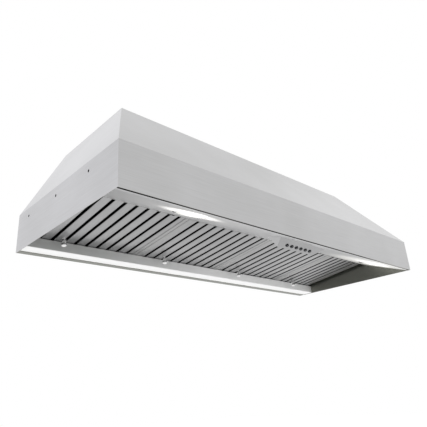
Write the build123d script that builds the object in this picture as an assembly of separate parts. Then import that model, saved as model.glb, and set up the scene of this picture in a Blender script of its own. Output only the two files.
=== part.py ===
from build123d import *

import os
from math import atan2, cos, hypot, radians, sin

# Range hood insert. Millimetres. X runs to the right, Y to the back, Z up.
# The origin is the centre of the open bottom rim, which lies in the plane Z = 0.

# ---- canopy shell -------------------------------------------------------------------------
WIDTH = 1168.0
DEPTH = 476.0
BODY_HEIGHT = 314.0
SKIRT_HEIGHT = 101.0
SIDE_INSET = 113.0
FRONT_INSET = 175.0
SHEET = 1.2
BEND_RADIUS = 1.0
BACK_LIP = 20.0
MOUNT_HOLE_RADIUS = 3.25
MOUNT_HOLE_SPACING = 149.6
MOUNT_HOLE_CENTRE = 262.9
MOUNT_HOLE_HEIGHT = 79.0

# ---- inclined front panel -----------------------------------------------------------------
PANEL_RUN = 161.0
PANEL_RISE = 60.0
GROOVE_WIDTH = 9.0
GROOVE_DEPTH = 12.0
WELD_FLANGE = 14.0
PANEL_REAR_FLANGE = 20.0
LEAD_HOLE_RADIUS = 8.0

# ---- grease trough and filter seats -------------------------------------------------------
TROUGH_WALL = 28.0
TROUGH_BACK_FLANGE = 40.0
TROUGH_HEM = 8.0
FILTER_RUN = 246.0
SEAT_CLEARANCE = 0.3
RAIL_LEDGE = 7.0
RAIL_LEG = 18.0

# ---- baffle filters -----------------------------------------------------------------------
WIDE_FILTER_COUNT = 3
WIDE_CELL_COUNT = 10
NARROW_CELL_COUNT = 7
NARROW_PITCH = 28.6
SLOT_WIDTH = 8.0
FILTER_HEIGHT = 24.0
FILTER_SHEET = 1.0
BAFFLE_SHEET = 0.8
BAFFLE_DEPTH = 11.0
UPPER_BAFFLE_DEPTH = 15.0
FRAME_FLANGE = 12.0
FILTER_GAP = 1.0
WALL_CLEARANCE = 0.8
FILLER_WIDTH = 19.6
FRONT_GAP = 0.6
TONGUE_REACH = 7.0
TONGUE_INSET = 10.0
REAR_OVERHANG = 14.0
NOTCH_WIDTH = 10.0
NOTCH_DEPTH = 5.0
NOTCH_CELLS = (8.3, 8.9, 8.3, 5.3)
FILLER_RECESS = 14.0
FILLER_FLANGE = 20.0

# ---- filter knobs -------------------------------------------------------------------------
KNOB_CELL = 2.5
WIDE_KNOB_OFFSET = 5.0
NARROW_KNOB_OFFSET = -3.0
KNOB_SETBACK = 23.0
KNOB_STEM_RADIUS = 5.0
KNOB_STEM_LENGTH = 13.5
KNOB_NECK_RADIUS = 3.4
KNOB_NECK_LENGTH = 2.6
KNOB_HEAD_RADIUS = 6.8
KNOB_HEAD_LENGTH = 7.4
KNOB_STUD_RADIUS = 2.5
KNOB_NUT_RADIUS = 4.6
KNOB_NUT_HEIGHT = 3.2

# ---- lamps --------------------------------------------------------------------------------
LEFT_LAMP_INSET = 240.0
RIGHT_LAMP_INSET = 112.0
LAMP_SETBACK = 77.0
BEZEL_RADIUS = 42.0
BEZEL_THICKNESS = 2.5
LENS_RADIUS = 33.0
LENS_THICKNESS = 3.5
LENS_CLEARANCE = 0.2
NECK_WALL = 1.8
NECK_LENGTH = 12.0
LAMP_BODY_HEIGHT = 22.0
LAMP_FINS = 16
FIN_SLOT = 3.0
FIN_SLOT_DEPTH = 9.0
CLIP_SHEET = 0.8
CLIP_WIDTH = 12.0
CLIP_FOOT = 14.0
CLIP_HEIGHT = 9.0
DRIVER_SIZE = (150.0, 48.0, 26.0)
DRIVER_OFFSET = 154.0
DRIVER_CORNER = 4.0
DRIVER_EAR = 14.0
DRIVER_EAR_HEIGHT = 3.0

# ---- control box and buttons --------------------------------------------------------------
CONTROL_LEFT = -62.0
CONTROL_WIDTH = 204.0
CONTROL_START = 41.0
CONTROL_LENGTH = 46.7
CONTROL_DEPTH = 24.4
CONTROL_FACE_RUN = 25.7
CONTROL_END_RUN = 22.0
BUTTON_COUNT = 6
BUTTON_PITCH = 20.5
BUTTON_EDGE = 13.5
BUTTON_RADIUS = 5.0
BUTTON_TRAVEL = 2.0
BUTTON_PRESSED_PROUD = 0.6
BUTTON_HOLE_CLEARANCE = 0.3
BUTTON_FLANGE = 1.0
BUTTON_FLANGE_THICKNESS = 1.3
BUTTON_STEM_RADIUS = 2.0
BUTTON_STEM_LENGTH = 8.0
SWITCH_SIZE = 9.0
SWITCH_HEIGHT = 5.5
SWITCH_SEAT = 14.0
BOARD_THICKNESS = 1.6
BOARD_LENGTH = 152.0
BOARD_WIDTH = 15.0
BOARD_FOOT = 3.0
BOARD_POST_RADIUS = 3.0
BOARD_POST_INSET = 8.0
BOARD_POST_CLIMB = 8.0
BOARD_SCREW_SCALE = 0.5
BOARD_BORE_DEPTH = 3.0

# ---- blower -------------------------------------------------------------------------------
WHEEL_RADIUS = 70.0
WHEEL_WIDTH = 148.0
WHEEL_SETBACK = 207.0
WHEEL_AXIS_Z = 204.0
BLADE_COUNT = 36
BLADE_INNER = 58.0
BLADE_SHEET = 1.0
BLADE_SWEEP = 13.0
BLADE_CAMBER = 1.2
BLADE_RECESS = 0.4
WHEEL_RING = 5.0
RING_WIDTH = 4.0
DISC_THICKNESS = 1.5
DISC_RECESS = 0.5
HUB_RADIUS = 12.0
HUB_LENGTH = 24.0
SCROLL_WIDTH = 160.0
SCROLL_SHEET = 1.0
SCROLL_START = 78.0
SCROLL_END = 125.0
SCROLL_SWEEP = 290.0
NECK_FLANGE = 12.0
INLET_RADIUS = 66.0
INLET_THROAT = 55.0
INLET_DEPTH = 10.0

# ---- motor --------------------------------------------------------------------------------
SHAFT_RADIUS = 4.0
SHAFT_RUNNING_CLEARANCE = 0.05
MOTOR_START = 24.0
MOTOR_LENGTH = 68.0
MOTOR_RADIUS = 42.0
MOTOR_WALL = 1.5
MOTOR_END_WALL = 2.0
BEARING_RADIUS = 11.0
BEARING_WIDTH = 7.0
BEARING_BOSS = 2.5
ROTOR_RADIUS = 23.6
AIR_GAP = 0.4
STACK_LENGTH = 32.0
BRACKET_BAND = 14.0
BRACKET_SHEET = 1.5
BRACKET_ARM = 14.0
BRACKET_REACH = 86.0
BRACKET_SCREW_CIRCLE = 79.0
BRACKET_ANGLES = (-90.0, 30.0, 150.0)

# ---- duct collar and damper ---------------------------------------------------------------
COLLAR_RADIUS = 100.0
COLLAR_HEIGHT = 38.0
COLLAR_FLANGE = 15.0
STOP_RING = 7.0
STOP_RING_THICKNESS = 2.0
ROD_RADIUS = 2.5
ROD_HEIGHT = 14.0
ROD_CLEARANCE = 0.05
FLAP_CLEARANCE = 2.8
FLAP_SHEET = 1.0
KNUCKLE_RADIUS = 4.2
KNUCKLE_LENGTH = 18.0
KNUCKLE_POSITIONS = {"front": (-66.0, 30.0), "back": (-30.0, 66.0)}
KNUCKLE_GAP = 0.6

# ---- electrics on the top panel -----------------------------------------------------------
JUNCTION_SIZE = (110.0, 70.0, 45.0)
ELECTRICS_X = 250.0
JUNCTION_SETBACK = 143.0
JUNCTION_SHEET = 1.0
JUNCTION_TAB = 14.0
GLAND_RADIUS = 10.0
GLAND_BORE = 5.0
GLAND_HEAD_RADIUS = 13.5
GLAND_HEAD_HEIGHT = 14.0
GLAND_ROUNDING = 3.0
GLAND_NUT_RADIUS = 14.0
GLAND_NUT_HEIGHT = 4.0
HOLE_CLEARANCE = 0.2
CAPACITOR_RADIUS = 20.0
CAPACITOR_LENGTH = 70.0
CAPACITOR_ROUNDING = 2.0
CAPACITOR_SETBACK = 58.0
CLAMP_SHEET = 1.2
CLAMP_WIDTH = 16.0
CLAMP_TAB = 34.0
CLAMP_SCREW_EDGE = 7.0

# ---- fasteners ----------------------------------------------------------------------------
SCREW_RADIUS = 2.0
SCREW_HEAD_RADIUS = 3.6
SCREW_HEAD_HEIGHT = 2.4
SCREW_TAIL = 4.0
SCREW_CLEARANCE = 0.1
STUD_LENGTH = 9.0
NUT_RADIUS = 4.0
NUT_HEIGHT = 3.2
DRILL_REACH = 5.0

# ---- places that follow from the sizes ----------------------------------------------------
FRONT = -DEPTH / 2
BACK = DEPTH / 2
HALF = WIDTH / 2
INNER_HALF = HALF - SHEET
TOP_UNDERSIDE = BODY_HEIGHT - SHEET
PANEL_ANGLE = atan2(PANEL_RISE, PANEL_RUN)
FILTER_ANGLE = atan2(PANEL_RISE - TROUGH_WALL, FILTER_RUN)
FILTER_SPAN = hypot(PANEL_RISE - TROUGH_WALL, FILTER_RUN)
PANEL_FRONT = FRONT + GROOVE_WIDTH
RAIL_Y = PANEL_FRONT + PANEL_RUN
TROUGH_Y = RAIL_Y + FILTER_RUN
TONGUE_FRONT = FRONT_GAP - TONGUE_REACH
LEDGE_TOP = FILTER_HEIGHT - SHEET - SEAT_CLEARANCE
FILTER_END = FILTER_SPAN + REAR_OVERHANG

# The wide filters share what the narrow one, the filler and the clearance leave of the width.
ROW_WIDTH = 2 * INNER_HALF - WALL_CLEARANCE - FILLER_WIDTH
WIDE_PITCH = (ROW_WIDTH - NARROW_CELL_COUNT * NARROW_PITCH) / (WIDE_FILTER_COUNT * WIDE_CELL_COUNT)

LAMP_POSITIONS = {"left": LEFT_LAMP_INSET - HALF, "right": HALF - RIGHT_LAMP_INSET}
DRIVER_X = LAMP_POSITIONS["left"] + DRIVER_OFFSET

# Frames of the two inclined planes: local x is X, local y runs up the slope towards the back,
# and local z is the slope's upward normal.
PANEL = Plane(
    origin=(0, PANEL_FRONT, 0),
    x_dir=(1, 0, 0),
    z_dir=(0, -sin(PANEL_ANGLE), cos(PANEL_ANGLE)),
)
FILTER = Plane(
    origin=(0, RAIL_Y, PANEL_RISE),
    x_dir=(1, 0, 0),
    z_dir=(0, sin(FILTER_ANGLE), cos(FILTER_ANGLE)),
)

# Frame of the button face: local x is X, local y climbs the face, local z points out of it.
FACE_TOP = PANEL.from_local_coords((0, CONTROL_START, 0))
FACE_FOOT = PANEL.from_local_coords((0, CONTROL_START + CONTROL_FACE_RUN, -CONTROL_DEPTH))
FACE_CLIMB = (FACE_TOP - FACE_FOOT).normalized()
FACE = Plane(origin=FACE_FOOT, x_dir=(1, 0, 0), z_dir=Vector(1, 0, 0).cross(FACE_CLIMB))

BUTTON_PROUD = BUTTON_PRESSED_PROUD + BUTTON_TRAVEL
CONTROL_MIDDLE = CONTROL_LEFT + CONTROL_WIDTH / 2
WHEEL_AXIS_Y = BACK - WHEEL_SETBACK
BLADE_OUTER = WHEEL_RADIUS - BLADE_RECESS
OUTLET_Y = WHEEL_AXIS_Y + (SCROLL_START * cos(radians(360 - SCROLL_SWEEP)) + SCROLL_END) / 2
OUTLET_FRONT = WHEEL_AXIS_Y + SCROLL_START * cos(radians(360 - SCROLL_SWEEP))
OUTLET_BACK = WHEEL_AXIS_Y + SCROLL_END
ROD_Z = BODY_HEIGHT + ROD_HEIGHT
JUNCTION_Z = TOP_UNDERSIDE - JUNCTION_SIZE[2]
JUNCTION_CENTRE = (ELECTRICS_X, BACK - JUNCTION_SETBACK)
CAPACITOR_CENTRE = (ELECTRICS_X, BACK - CAPACITOR_SETBACK)
CAPACITOR_Z = TOP_UNDERSIDE - 2 * CLAMP_SHEET - CAPACITOR_RADIUS
THROUGH_TOP = (TOP_UNDERSIDE - DRILL_REACH, BODY_HEIGHT + DRILL_REACH)


# ---- shared helpers -----------------------------------------------------------------------
def cuboid(x0, x1, y0, y1, z0, z1):
    """A box between two corners, in whatever frame it is then placed."""
    size = Box(x1 - x0, y1 - y0, z1 - z0)
    return Pos((x0 + x1) / 2, (y0 + y1) / 2, (z0 + z1) / 2) * size


def shifted(points, distance):
    """The line of (y, z) points moved to its left by a distance, with mitred corners."""
    moved = []
    for index, point in enumerate(points):
        before = points[max(index - 1, 0)]
        after = points[min(index + 1, len(points) - 1)]
        legs = [(p, q) for p, q in ((before, point), (point, after)) if p != q]
        normals = []
        for start, end in legs:
            length = hypot(end[0] - start[0], end[1] - start[1])
            normals.append(((start[1] - end[1]) / length, (end[0] - start[0]) / length))
        first, last = normals[0], normals[-1]
        spread = 1 + first[0] * last[0] + first[1] * last[1]
        moved.append(
            (
                point[0] + distance * (first[0] + last[0]) / spread,
                point[1] + distance * (first[1] + last[1]) / spread,
            )
        )
    return moved


def folded(points, x0, x1, sheet=SHEET, radius=BEND_RADIUS):
    """A folded sheet: points are the (y, z) line of its right-hand face, and it runs along X."""
    right_radii, left_radii = [0.0], [0.0]
    for before, point, after in zip(points, points[1:], points[2:]):
        turn = (point[0] - before[0]) * (after[1] - point[1])
        turn -= (point[1] - before[1]) * (after[0] - point[0])
        right_radii.append(radius + sheet if turn > 0 else radius)
        left_radii.append(radius if turn > 0 else radius + sheet)
    right_radii.append(0.0)
    left_radii.append(0.0)
    outline = list(points) + shifted(points, sheet)[::-1]
    line = FilletPolyline(*outline, radius=right_radii + left_radii[::-1], close=True)
    return Pos(x0, 0, 0) * extrude(make_face(Plane.YZ * line), amount=x1 - x0)


def place(frame, shape):
    """The shape moved from the given plane's own axes into the model."""
    return frame.location * shape


def yz(frame, along, up):
    """The model's (y, z) of a point given on a plane's cross-section."""
    point = frame.from_local_coords((0, along, up))
    return (point.Y, point.Z)


def tube_z(x, y, z0, z1, outer, inner=0.0):
    """An upright tube, or a rod when the inner radius is 0."""
    body = Pos(x, y, (z0 + z1) / 2) * Cylinder(outer, z1 - z0)
    if inner:
        body -= Pos(x, y, (z0 + z1) / 2) * Cylinder(inner, z1 - z0)
    return body


def tube_x(x0, x1, outer, inner=0.0, y=WHEEL_AXIS_Y, z=WHEEL_AXIS_Z):
    """A tube along X, or a rod when the inner radius is 0; by default on the blower's axis."""
    spot = Location(((x0 + x1) / 2, y, z), (0, 90, 0))
    body = spot * Cylinder(outer, x1 - x0)
    if inner:
        body -= spot * Cylinder(inner, x1 - x0)
    return body


def spun(points):
    """A closed outline of (radius, height) points turned about the local z axis."""
    outline = Plane.XZ * Polyline(*points, close=True)
    return revolve(make_face(outline), Axis.Z)


def group(shapes):
    """Several separate solids kept together as one sub-part."""
    return Compound(children=[solid for shape in shapes for solid in shape.solids()])


# ---- canopy shell -------------------------------------------------------------------------
def wall_planes():
    """The outer planes of the shell as (outward normal, distance, sheet thickness)."""
    slope_height = BODY_HEIGHT - SKIRT_HEIGHT
    front_slope = Vector(0, -slope_height, FRONT_INSET).normalized()
    left_slope = Vector(-slope_height, 0, SIDE_INSET).normalized()
    right_slope = Vector(slope_height, 0, SIDE_INSET).normalized()
    return {
        "front": (Vector(0, -1, 0), BACK, SHEET),
        "back": (Vector(0, 1, 0), BACK, SHEET),
        "left": (Vector(-1, 0, 0), HALF, SHEET),
        "right": (Vector(1, 0, 0), HALF, SHEET),
        "top": (Vector(0, 0, 1), BODY_HEIGHT, SHEET),
        "rim": (Vector(0, 0, -1), 0.0, 0.0),
        "front_slope": (front_slope, front_slope.dot(Vector(0, FRONT, SKIRT_HEIGHT)), SHEET),
        "left_slope": (left_slope, left_slope.dot(Vector(-HALF, 0, SKIRT_HEIGHT)), SHEET),
        "right_slope": (right_slope, right_slope.dot(Vector(HALF, 0, SKIRT_HEIGHT)), SHEET),
    }


WALLS = wall_planes()


def meeting(planes):
    """The point where three planes meet, each given as (unit normal, distance)."""
    (a, reach_a), (b, reach_b), (c, reach_c) = planes
    total = b.cross(c) * reach_a + c.cross(a) * reach_b + a.cross(b) * reach_c
    return total * (1 / a.dot(b.cross(c)))


def corner(names, inner):
    """The point where three of the shell's planes meet, on their outer or inner faces."""
    walls = [WALLS[name] for name in names]
    return meeting([(normal, reach - (sheet if inner else 0.0)) for normal, reach, sheet in walls])


def wall(face, neighbours):
    """One flat wall of the shell, mitred where it meets each of its neighbours."""
    pairs = list(zip(neighbours, neighbours[1:] + neighbours[:1]))
    outer = [corner((face, first, second), False) for first, second in pairs]
    inner = [corner((face, first, second), True) for first, second in pairs]
    faces = [Face(Wire.make_polygon(outer)), Face(Wire.make_polygon(inner))]
    for index in range(len(pairs)):
        after = (index + 1) % len(pairs)
        faces.append(Face(Wire.make_polygon([outer[index], outer[after], inner[after], inner[index]])))
    return Solid(Shell(faces))


def mount_holes(x):
    """Drills for the three fixing holes of one side wall."""
    drills = []
    for step in (-1, 0, 1):
        y = FRONT + MOUNT_HOLE_CENTRE + step * MOUNT_HOLE_SPACING
        drills.append(tube_x(x - 4 * SHEET, x + 4 * SHEET, MOUNT_HOLE_RADIUS, 0.0, y, MOUNT_HOLE_HEIGHT))
    return drills


def top_screw_places():
    """Where screws pass through the top panel from above, as (x, y)."""
    along = SCROLL_WIDTH / 4
    aside = SCROLL_WIDTH / 2 + SCROLL_SHEET + NECK_FLANGE / 2
    front = OUTLET_FRONT - NECK_FLANGE / 2
    back = OUTLET_BACK + NECK_FLANGE / 2
    beside = (OUTLET_BACK - OUTLET_FRONT) / 4
    places = [(x, y) for x in (-along, along) for y in (front, back)]
    places += [(x, OUTLET_Y + y) for x in (-aside, aside) for y in (-beside, beside)]
    return places


def collar_screw_places():
    """Screws round the collar's flange, as (x, y)."""
    circle = COLLAR_RADIUS + COLLAR_FLANGE / 2
    turns = [radians(30 + 60 * index) for index in range(6)]
    return [(circle * cos(turn), OUTLET_Y + circle * sin(turn)) for turn in turns]


def junction_screw_places():
    """Screws that hold the junction box under the top panel, as (x, y)."""
    reach = JUNCTION_SIZE[0] / 2 - JUNCTION_TAB
    return [(JUNCTION_CENTRE[0] + side * reach, JUNCTION_CENTRE[1]) for side in (-1, 1)]


def clamp_screw_place():
    """The screw that holds the capacitor's clamp, as (x, y)."""
    return (CAPACITOR_CENTRE[0], CAPACITOR_CENTRE[1] + CLAMP_TAB - CLAMP_SCREW_EDGE)


def drill(x, y, z0, z1, radius=SCREW_RADIUS + SCREW_CLEARANCE):
    """An upright drill for a screw."""
    return tube_z(x, y, z0, z1, radius)


def canopy():
    """The five walls of the outer shell."""
    front = wall("front", ["rim", "left", "front_slope", "right"])
    front += wall("front_slope", ["front", "left_slope", "top", "right_slope"])
    back = wall("back", ["rim", "left", "left_slope", "top", "right_slope", "right"])
    back += cuboid(-INNER_HALF, INNER_HALF, BACK - BACK_LIP, BACK - SHEET / 2, 0, SHEET)
    left = wall("left", ["rim", "front", "left_slope", "back"])
    left += wall("left_slope", ["left", "front_slope", "top", "back"])
    right = wall("right", ["rim", "front", "right_slope", "back"])
    right += wall("right_slope", ["right", "front_slope", "top", "back"])
    for hole in mount_holes(-HALF):
        left -= hole
    for hole in mount_holes(HALF):
        right -= hole
    top = wall("top", ["front_slope", "left_slope", "back", "right_slope"])
    half_throat = SCROLL_WIDTH / 2
    top -= cuboid(
        -half_throat, half_throat, OUTLET_FRONT + SCROLL_SHEET, OUTLET_BACK - SCROLL_SHEET, *THROUGH_TOP
    )
    places = top_screw_places() + collar_screw_places() + junction_screw_places() + [clamp_screw_place()]
    for x, y in places:
        top -= drill(x, y, *THROUGH_TOP)
    top -= drill(*JUNCTION_CENTRE, *THROUGH_TOP, GLAND_RADIUS + HOLE_CLEARANCE)
    return {
        "front_panel": front,
        "back_panel": back,
        "left_side_panel": left,
        "right_side_panel": right,
        "top_panel": top,
    }


# ---- inclined panel, rail, trough and filler ----------------------------------------------
def light_panel():
    """The inclined sheet that carries the lamps and the controls."""
    line = [
        (FRONT + SHEET, GROOVE_DEPTH + WELD_FLANGE),
        (FRONT + SHEET, GROOVE_DEPTH),
        (PANEL_FRONT, GROOVE_DEPTH),
        (PANEL_FRONT, 0),
        yz(FILTER, 0, 0),
        yz(FILTER, 0, PANEL_REAR_FLANGE),
    ]
    panel = folded(line, -INNER_HALF, INNER_HALF)
    for x in LAMP_POSITIONS.values():
        hole = Pos(x, LAMP_SETBACK, 0) * Cylinder(neck_radius() + HOLE_CLEARANCE, 6 * SHEET)
        panel -= place(PANEL, hole)
    lead_y = CONTROL_START + CONTROL_LENGTH / 2
    panel -= place(PANEL, Pos(CONTROL_MIDDLE, lead_y, 0) * Cylinder(LEAD_HOLE_RADIUS, 6 * SHEET))
    for x, along in driver_stud_places():
        panel += place(PANEL, tube_z(x, along, SHEET / 2, SHEET + STUD_LENGTH, SCREW_RADIUS))
    return panel


def filter_rail():
    """The angle on the inclined panel's rear flange; the filters' front tongues rest on its ledge."""
    face = -SHEET
    leg = cuboid(-INNER_HALF, INNER_HALF, face - SHEET, face, LEDGE_TOP - RAIL_LEG, LEDGE_TOP)
    ledge = cuboid(-INNER_HALF, INNER_HALF, face - RAIL_LEDGE, face, LEDGE_TOP - SHEET, LEDGE_TOP)
    return place(FILTER, leg + ledge)


def grease_trough():
    """The channel along the back, with a hemmed front wall that the filters rest on."""
    hem_back = TROUGH_Y + 2 * SHEET
    slope = (PANEL_RISE - TROUGH_WALL) / FILTER_RUN
    wall_top = TROUGH_WALL - 2 * SHEET * slope - SEAT_CLEARANCE
    line = [
        (TROUGH_Y, wall_top),
        (TROUGH_Y, SHEET),
        (BACK - SHEET, SHEET),
        (BACK - SHEET, TROUGH_BACK_FLANGE),
    ]
    trough = folded(line, -INNER_HALF, INNER_HALF)
    hem = cuboid(-INNER_HALF, INNER_HALF, TROUGH_Y + SHEET, hem_back, wall_top - TROUGH_HEM, wall_top)
    return trough + hem


def row_of_filters():
    """Each filter's left edge, cell count, cell pitch, knob offset and notch cell."""
    left = -INNER_HALF + WALL_CLEARANCE
    row = []
    for index in range(WIDE_FILTER_COUNT):
        row.append((left, WIDE_CELL_COUNT, WIDE_PITCH, WIDE_KNOB_OFFSET, NOTCH_CELLS[index]))
        left += WIDE_CELL_COUNT * WIDE_PITCH
    row.append((left, NARROW_CELL_COUNT, NARROW_PITCH, NARROW_KNOB_OFFSET, NOTCH_CELLS[-1]))
    return row


def front_notch(x):
    """The cutter for the small notch in a filter's front edge."""
    low, high = x - NOTCH_WIDTH / 2, x + NOTCH_WIDTH / 2
    return cuboid(low, high, FRONT_GAP - 1, FRONT_GAP + NOTCH_DEPTH, -1, FILTER_SHEET + NOTCH_DEPTH)


def side_filler():
    """The strip that closes the row of filters at the right-hand wall."""
    left, cells, pitch, _, _ = row_of_filters()[-1]
    edge = left + cells * pitch + FILTER_GAP / 2
    low = FILLER_RECESS
    strip = cuboid(edge, INNER_HALF, FRONT_GAP, FILTER_SPAN, low, low + SHEET)
    strip += cuboid(INNER_HALF - SHEET, INNER_HALF, FRONT_GAP, FILTER_SPAN, low, low + FILLER_FLANGE)
    return place(FILTER, strip)


# ---- baffle filters -----------------------------------------------------------------------
def filter_frame(left, cells, pitch, notch_x):
    """The channel frame of one filter, with its front tongue; its front wall has no flanges."""
    x0 = left + FILTER_GAP / 2
    x1 = left + cells * pitch - FILTER_GAP / 2
    skin = FILTER_SHEET
    frame = cuboid(x0, x1, FRONT_GAP, FILTER_END, 0, FILTER_HEIGHT)
    frame -= cuboid(x0 + skin, x1 - skin, FRONT_GAP + skin, FILTER_END - skin, skin, FILTER_HEIGHT - skin)
    window_front = FRONT_GAP + skin
    window_back = FILTER_END - FRAME_FLANGE
    frame -= cuboid(x0 + FRAME_FLANGE, x1 - FRAME_FLANGE, window_front, window_back, -1, FILTER_HEIGHT + 1)
    frame -= front_notch(notch_x)
    frame += cuboid(
        x0 + TONGUE_INSET,
        x1 - TONGUE_INSET,
        TONGUE_FRONT,
        FRONT_GAP + skin,
        FILTER_HEIGHT - SHEET,
        FILTER_HEIGHT,
    )
    return frame


def channel(centre, width, floor, depth, upward):
    """A baffle: a channel running up the slope, with its flanges turned up or down."""
    skin = BAFFLE_SHEET
    front = FRONT_GAP + FILTER_SHEET
    back = FILTER_END - FILTER_SHEET
    tip = floor + depth if upward else floor - depth
    inside = floor + skin if upward else floor - skin
    bottom, top = min(floor, tip), max(floor, tip)
    hollow_bottom, hollow_top = min(inside, tip), max(inside, tip)
    body = cuboid(centre - width / 2, centre + width / 2, front, back, bottom, top)
    body -= cuboid(
        centre - width / 2 + skin, centre + width / 2 - skin, front, back, hollow_bottom, hollow_top
    )
    return body


def knob_place(left, pitch, offset):
    """Where a filter's knob stands: x and distance along the slope."""
    return left + KNOB_CELL * pitch + offset, FILTER_SPAN - KNOB_SETBACK


def filter_baffles(left, cells, pitch, offset, notch_x):
    """Two interlocking rows of channels, with the front notch and a hole for the knob's stud."""
    width = pitch - SLOT_WIDTH
    ceiling = FILTER_HEIGHT - FILTER_SHEET
    knob_x, knob_y = knob_place(left, pitch, offset)
    stud = Pos(knob_x, knob_y, 0) * Cylinder(KNOB_STUD_RADIUS + SCREW_CLEARANCE, 8 * FILTER_SHEET)
    baffles = []
    for cell in range(cells):
        lower = channel(left + (cell + 0.5) * pitch, width, FILTER_SHEET, BAFFLE_DEPTH, True)
        if abs(left + (cell + 0.5) * pitch - knob_x) < width / 2:
            lower -= stud
        if abs(left + (cell + 0.5) * pitch - notch_x) < pitch:
            lower -= front_notch(notch_x)
        baffles.append(lower)
    for cell in range(1, cells):
        baffles.append(channel(left + cell * pitch, width, ceiling, UPPER_BAFFLE_DEPTH, False))
    return baffles


def filter_knob(left, pitch, offset):
    """A turned pull knob under the filter and the nut that holds it."""
    knob_x, knob_y = knob_place(left, pitch, offset)
    band_foot = FILTER_SHEET
    band_top = FILTER_SHEET + BAFFLE_SHEET
    neck = band_foot - KNOB_STEM_LENGTH
    head = neck - KNOB_NECK_LENGTH
    tip = head - KNOB_HEAD_LENGTH
    rounding = KNOB_HEAD_RADIUS * 0.3
    body = spun(
        [
            (0, tip),
            (KNOB_HEAD_RADIUS - rounding, tip),
            (KNOB_HEAD_RADIUS - rounding * 0.3, tip + rounding * 0.3),
            (KNOB_HEAD_RADIUS, tip + rounding),
            (KNOB_HEAD_RADIUS, head - rounding / 2),
            (KNOB_HEAD_RADIUS - rounding / 2, head),
            (KNOB_NECK_RADIUS, head),
            (KNOB_NECK_RADIUS, neck),
            (KNOB_STEM_RADIUS, neck),
            (KNOB_STEM_RADIUS, band_foot),
            (KNOB_STUD_RADIUS, band_foot),
            (KNOB_STUD_RADIUS, band_top + KNOB_NUT_HEIGHT + 1),
            (0, band_top + KNOB_NUT_HEIGHT + 1),
        ]
    )
    nut = extrude(RegularPolygon(KNOB_NUT_RADIUS, 6), amount=KNOB_NUT_HEIGHT)
    nut = Pos(0, 0, band_top) * (nut - Cylinder(KNOB_STUD_RADIUS, 4 * KNOB_NUT_HEIGHT))
    spot = Pos(knob_x, knob_y, 0)
    return [spot * body, spot * nut]


def filters():
    """All baffle filters: a frame, its baffles and its knob each."""
    nodes = {}
    for number, (left, cells, pitch, offset, notch_cell) in enumerate(row_of_filters(), start=1):
        notch_x = left + notch_cell * pitch
        nodes[f"filter_{number}_frame"] = place(FILTER, filter_frame(left, cells, pitch, notch_x))
        row = filter_baffles(left, cells, pitch, offset, notch_x)
        baffles = [place(FILTER, baffle) for baffle in row]
        nodes[f"filter_{number}_baffles"] = group(baffles)
        knob = [place(FILTER, piece) for piece in filter_knob(left, pitch, offset)]
        nodes[f"filter_{number}_knob"] = group(knob)
    return nodes


# ---- lamps --------------------------------------------------------------------------------
def neck_radius():
    """Outer radius of the bezel's neck, which passes through the panel."""
    return LENS_RADIUS + LENS_CLEARANCE + NECK_WALL


def lamp(x):
    """One recessed lamp in the panel's frame: bezel, lens, heat-sink body and two clips."""
    bore = LENS_RADIUS + LENS_CLEARANCE
    seat = LENS_THICKNESS - BEZEL_THICKNESS + LENS_CLEARANCE
    bezel = spun(
        [
            (bore, -BEZEL_THICKNESS),
            (BEZEL_RADIUS - 2, -BEZEL_THICKNESS),
            (BEZEL_RADIUS, -BEZEL_THICKNESS / 2),
            (BEZEL_RADIUS, 0),
            (neck_radius(), 0),
            (neck_radius(), NECK_LENGTH),
            (bore, NECK_LENGTH),
        ]
    )
    lens = spun(
        [
            (0, -BEZEL_THICKNESS - 1),
            (LENS_RADIUS * 0.5, -BEZEL_THICKNESS - 0.7),
            (LENS_RADIUS, -BEZEL_THICKNESS + 0.6),
            (LENS_RADIUS, seat - LENS_CLEARANCE),
            (0, seat - LENS_CLEARANCE),
        ]
    )
    body = Pos(0, 0, seat + LAMP_BODY_HEIGHT / 2) * Cylinder(LENS_RADIUS, LAMP_BODY_HEIGHT)
    slot_foot = NECK_LENGTH + 1
    slot = cuboid(
        LENS_RADIUS - FIN_SLOT_DEPTH,
        LENS_RADIUS + 1,
        -FIN_SLOT / 2,
        FIN_SLOT / 2,
        slot_foot,
        3 * LAMP_BODY_HEIGHT,
    )
    for index in range(LAMP_FINS):
        body -= Rot(0, 0, 360 * index / LAMP_FINS) * slot
    leg = cuboid(
        neck_radius(), neck_radius() + CLIP_SHEET, -CLIP_WIDTH / 2, CLIP_WIDTH / 2, SHEET, SHEET + CLIP_HEIGHT
    )
    foot = cuboid(
        neck_radius(), neck_radius() + CLIP_FOOT, -CLIP_WIDTH / 2, CLIP_WIDTH / 2, SHEET, SHEET + CLIP_SHEET
    )
    clips = [Rot(0, 0, turn) * (leg + foot) for turn in (0, 180)]
    spot = Pos(x, LAMP_SETBACK, 0)
    return spot * bezel, spot * lens, spot * body, [spot * clip for clip in clips]


def driver_stud_places():
    """The panel's welded studs that hold the lamp driver, as (x, distance up the slope)."""
    reach = DRIVER_SIZE[0] / 2 + DRIVER_EAR / 2
    return [(DRIVER_X + side * reach, LAMP_SETBACK) for side in (-1, 1)]


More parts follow.
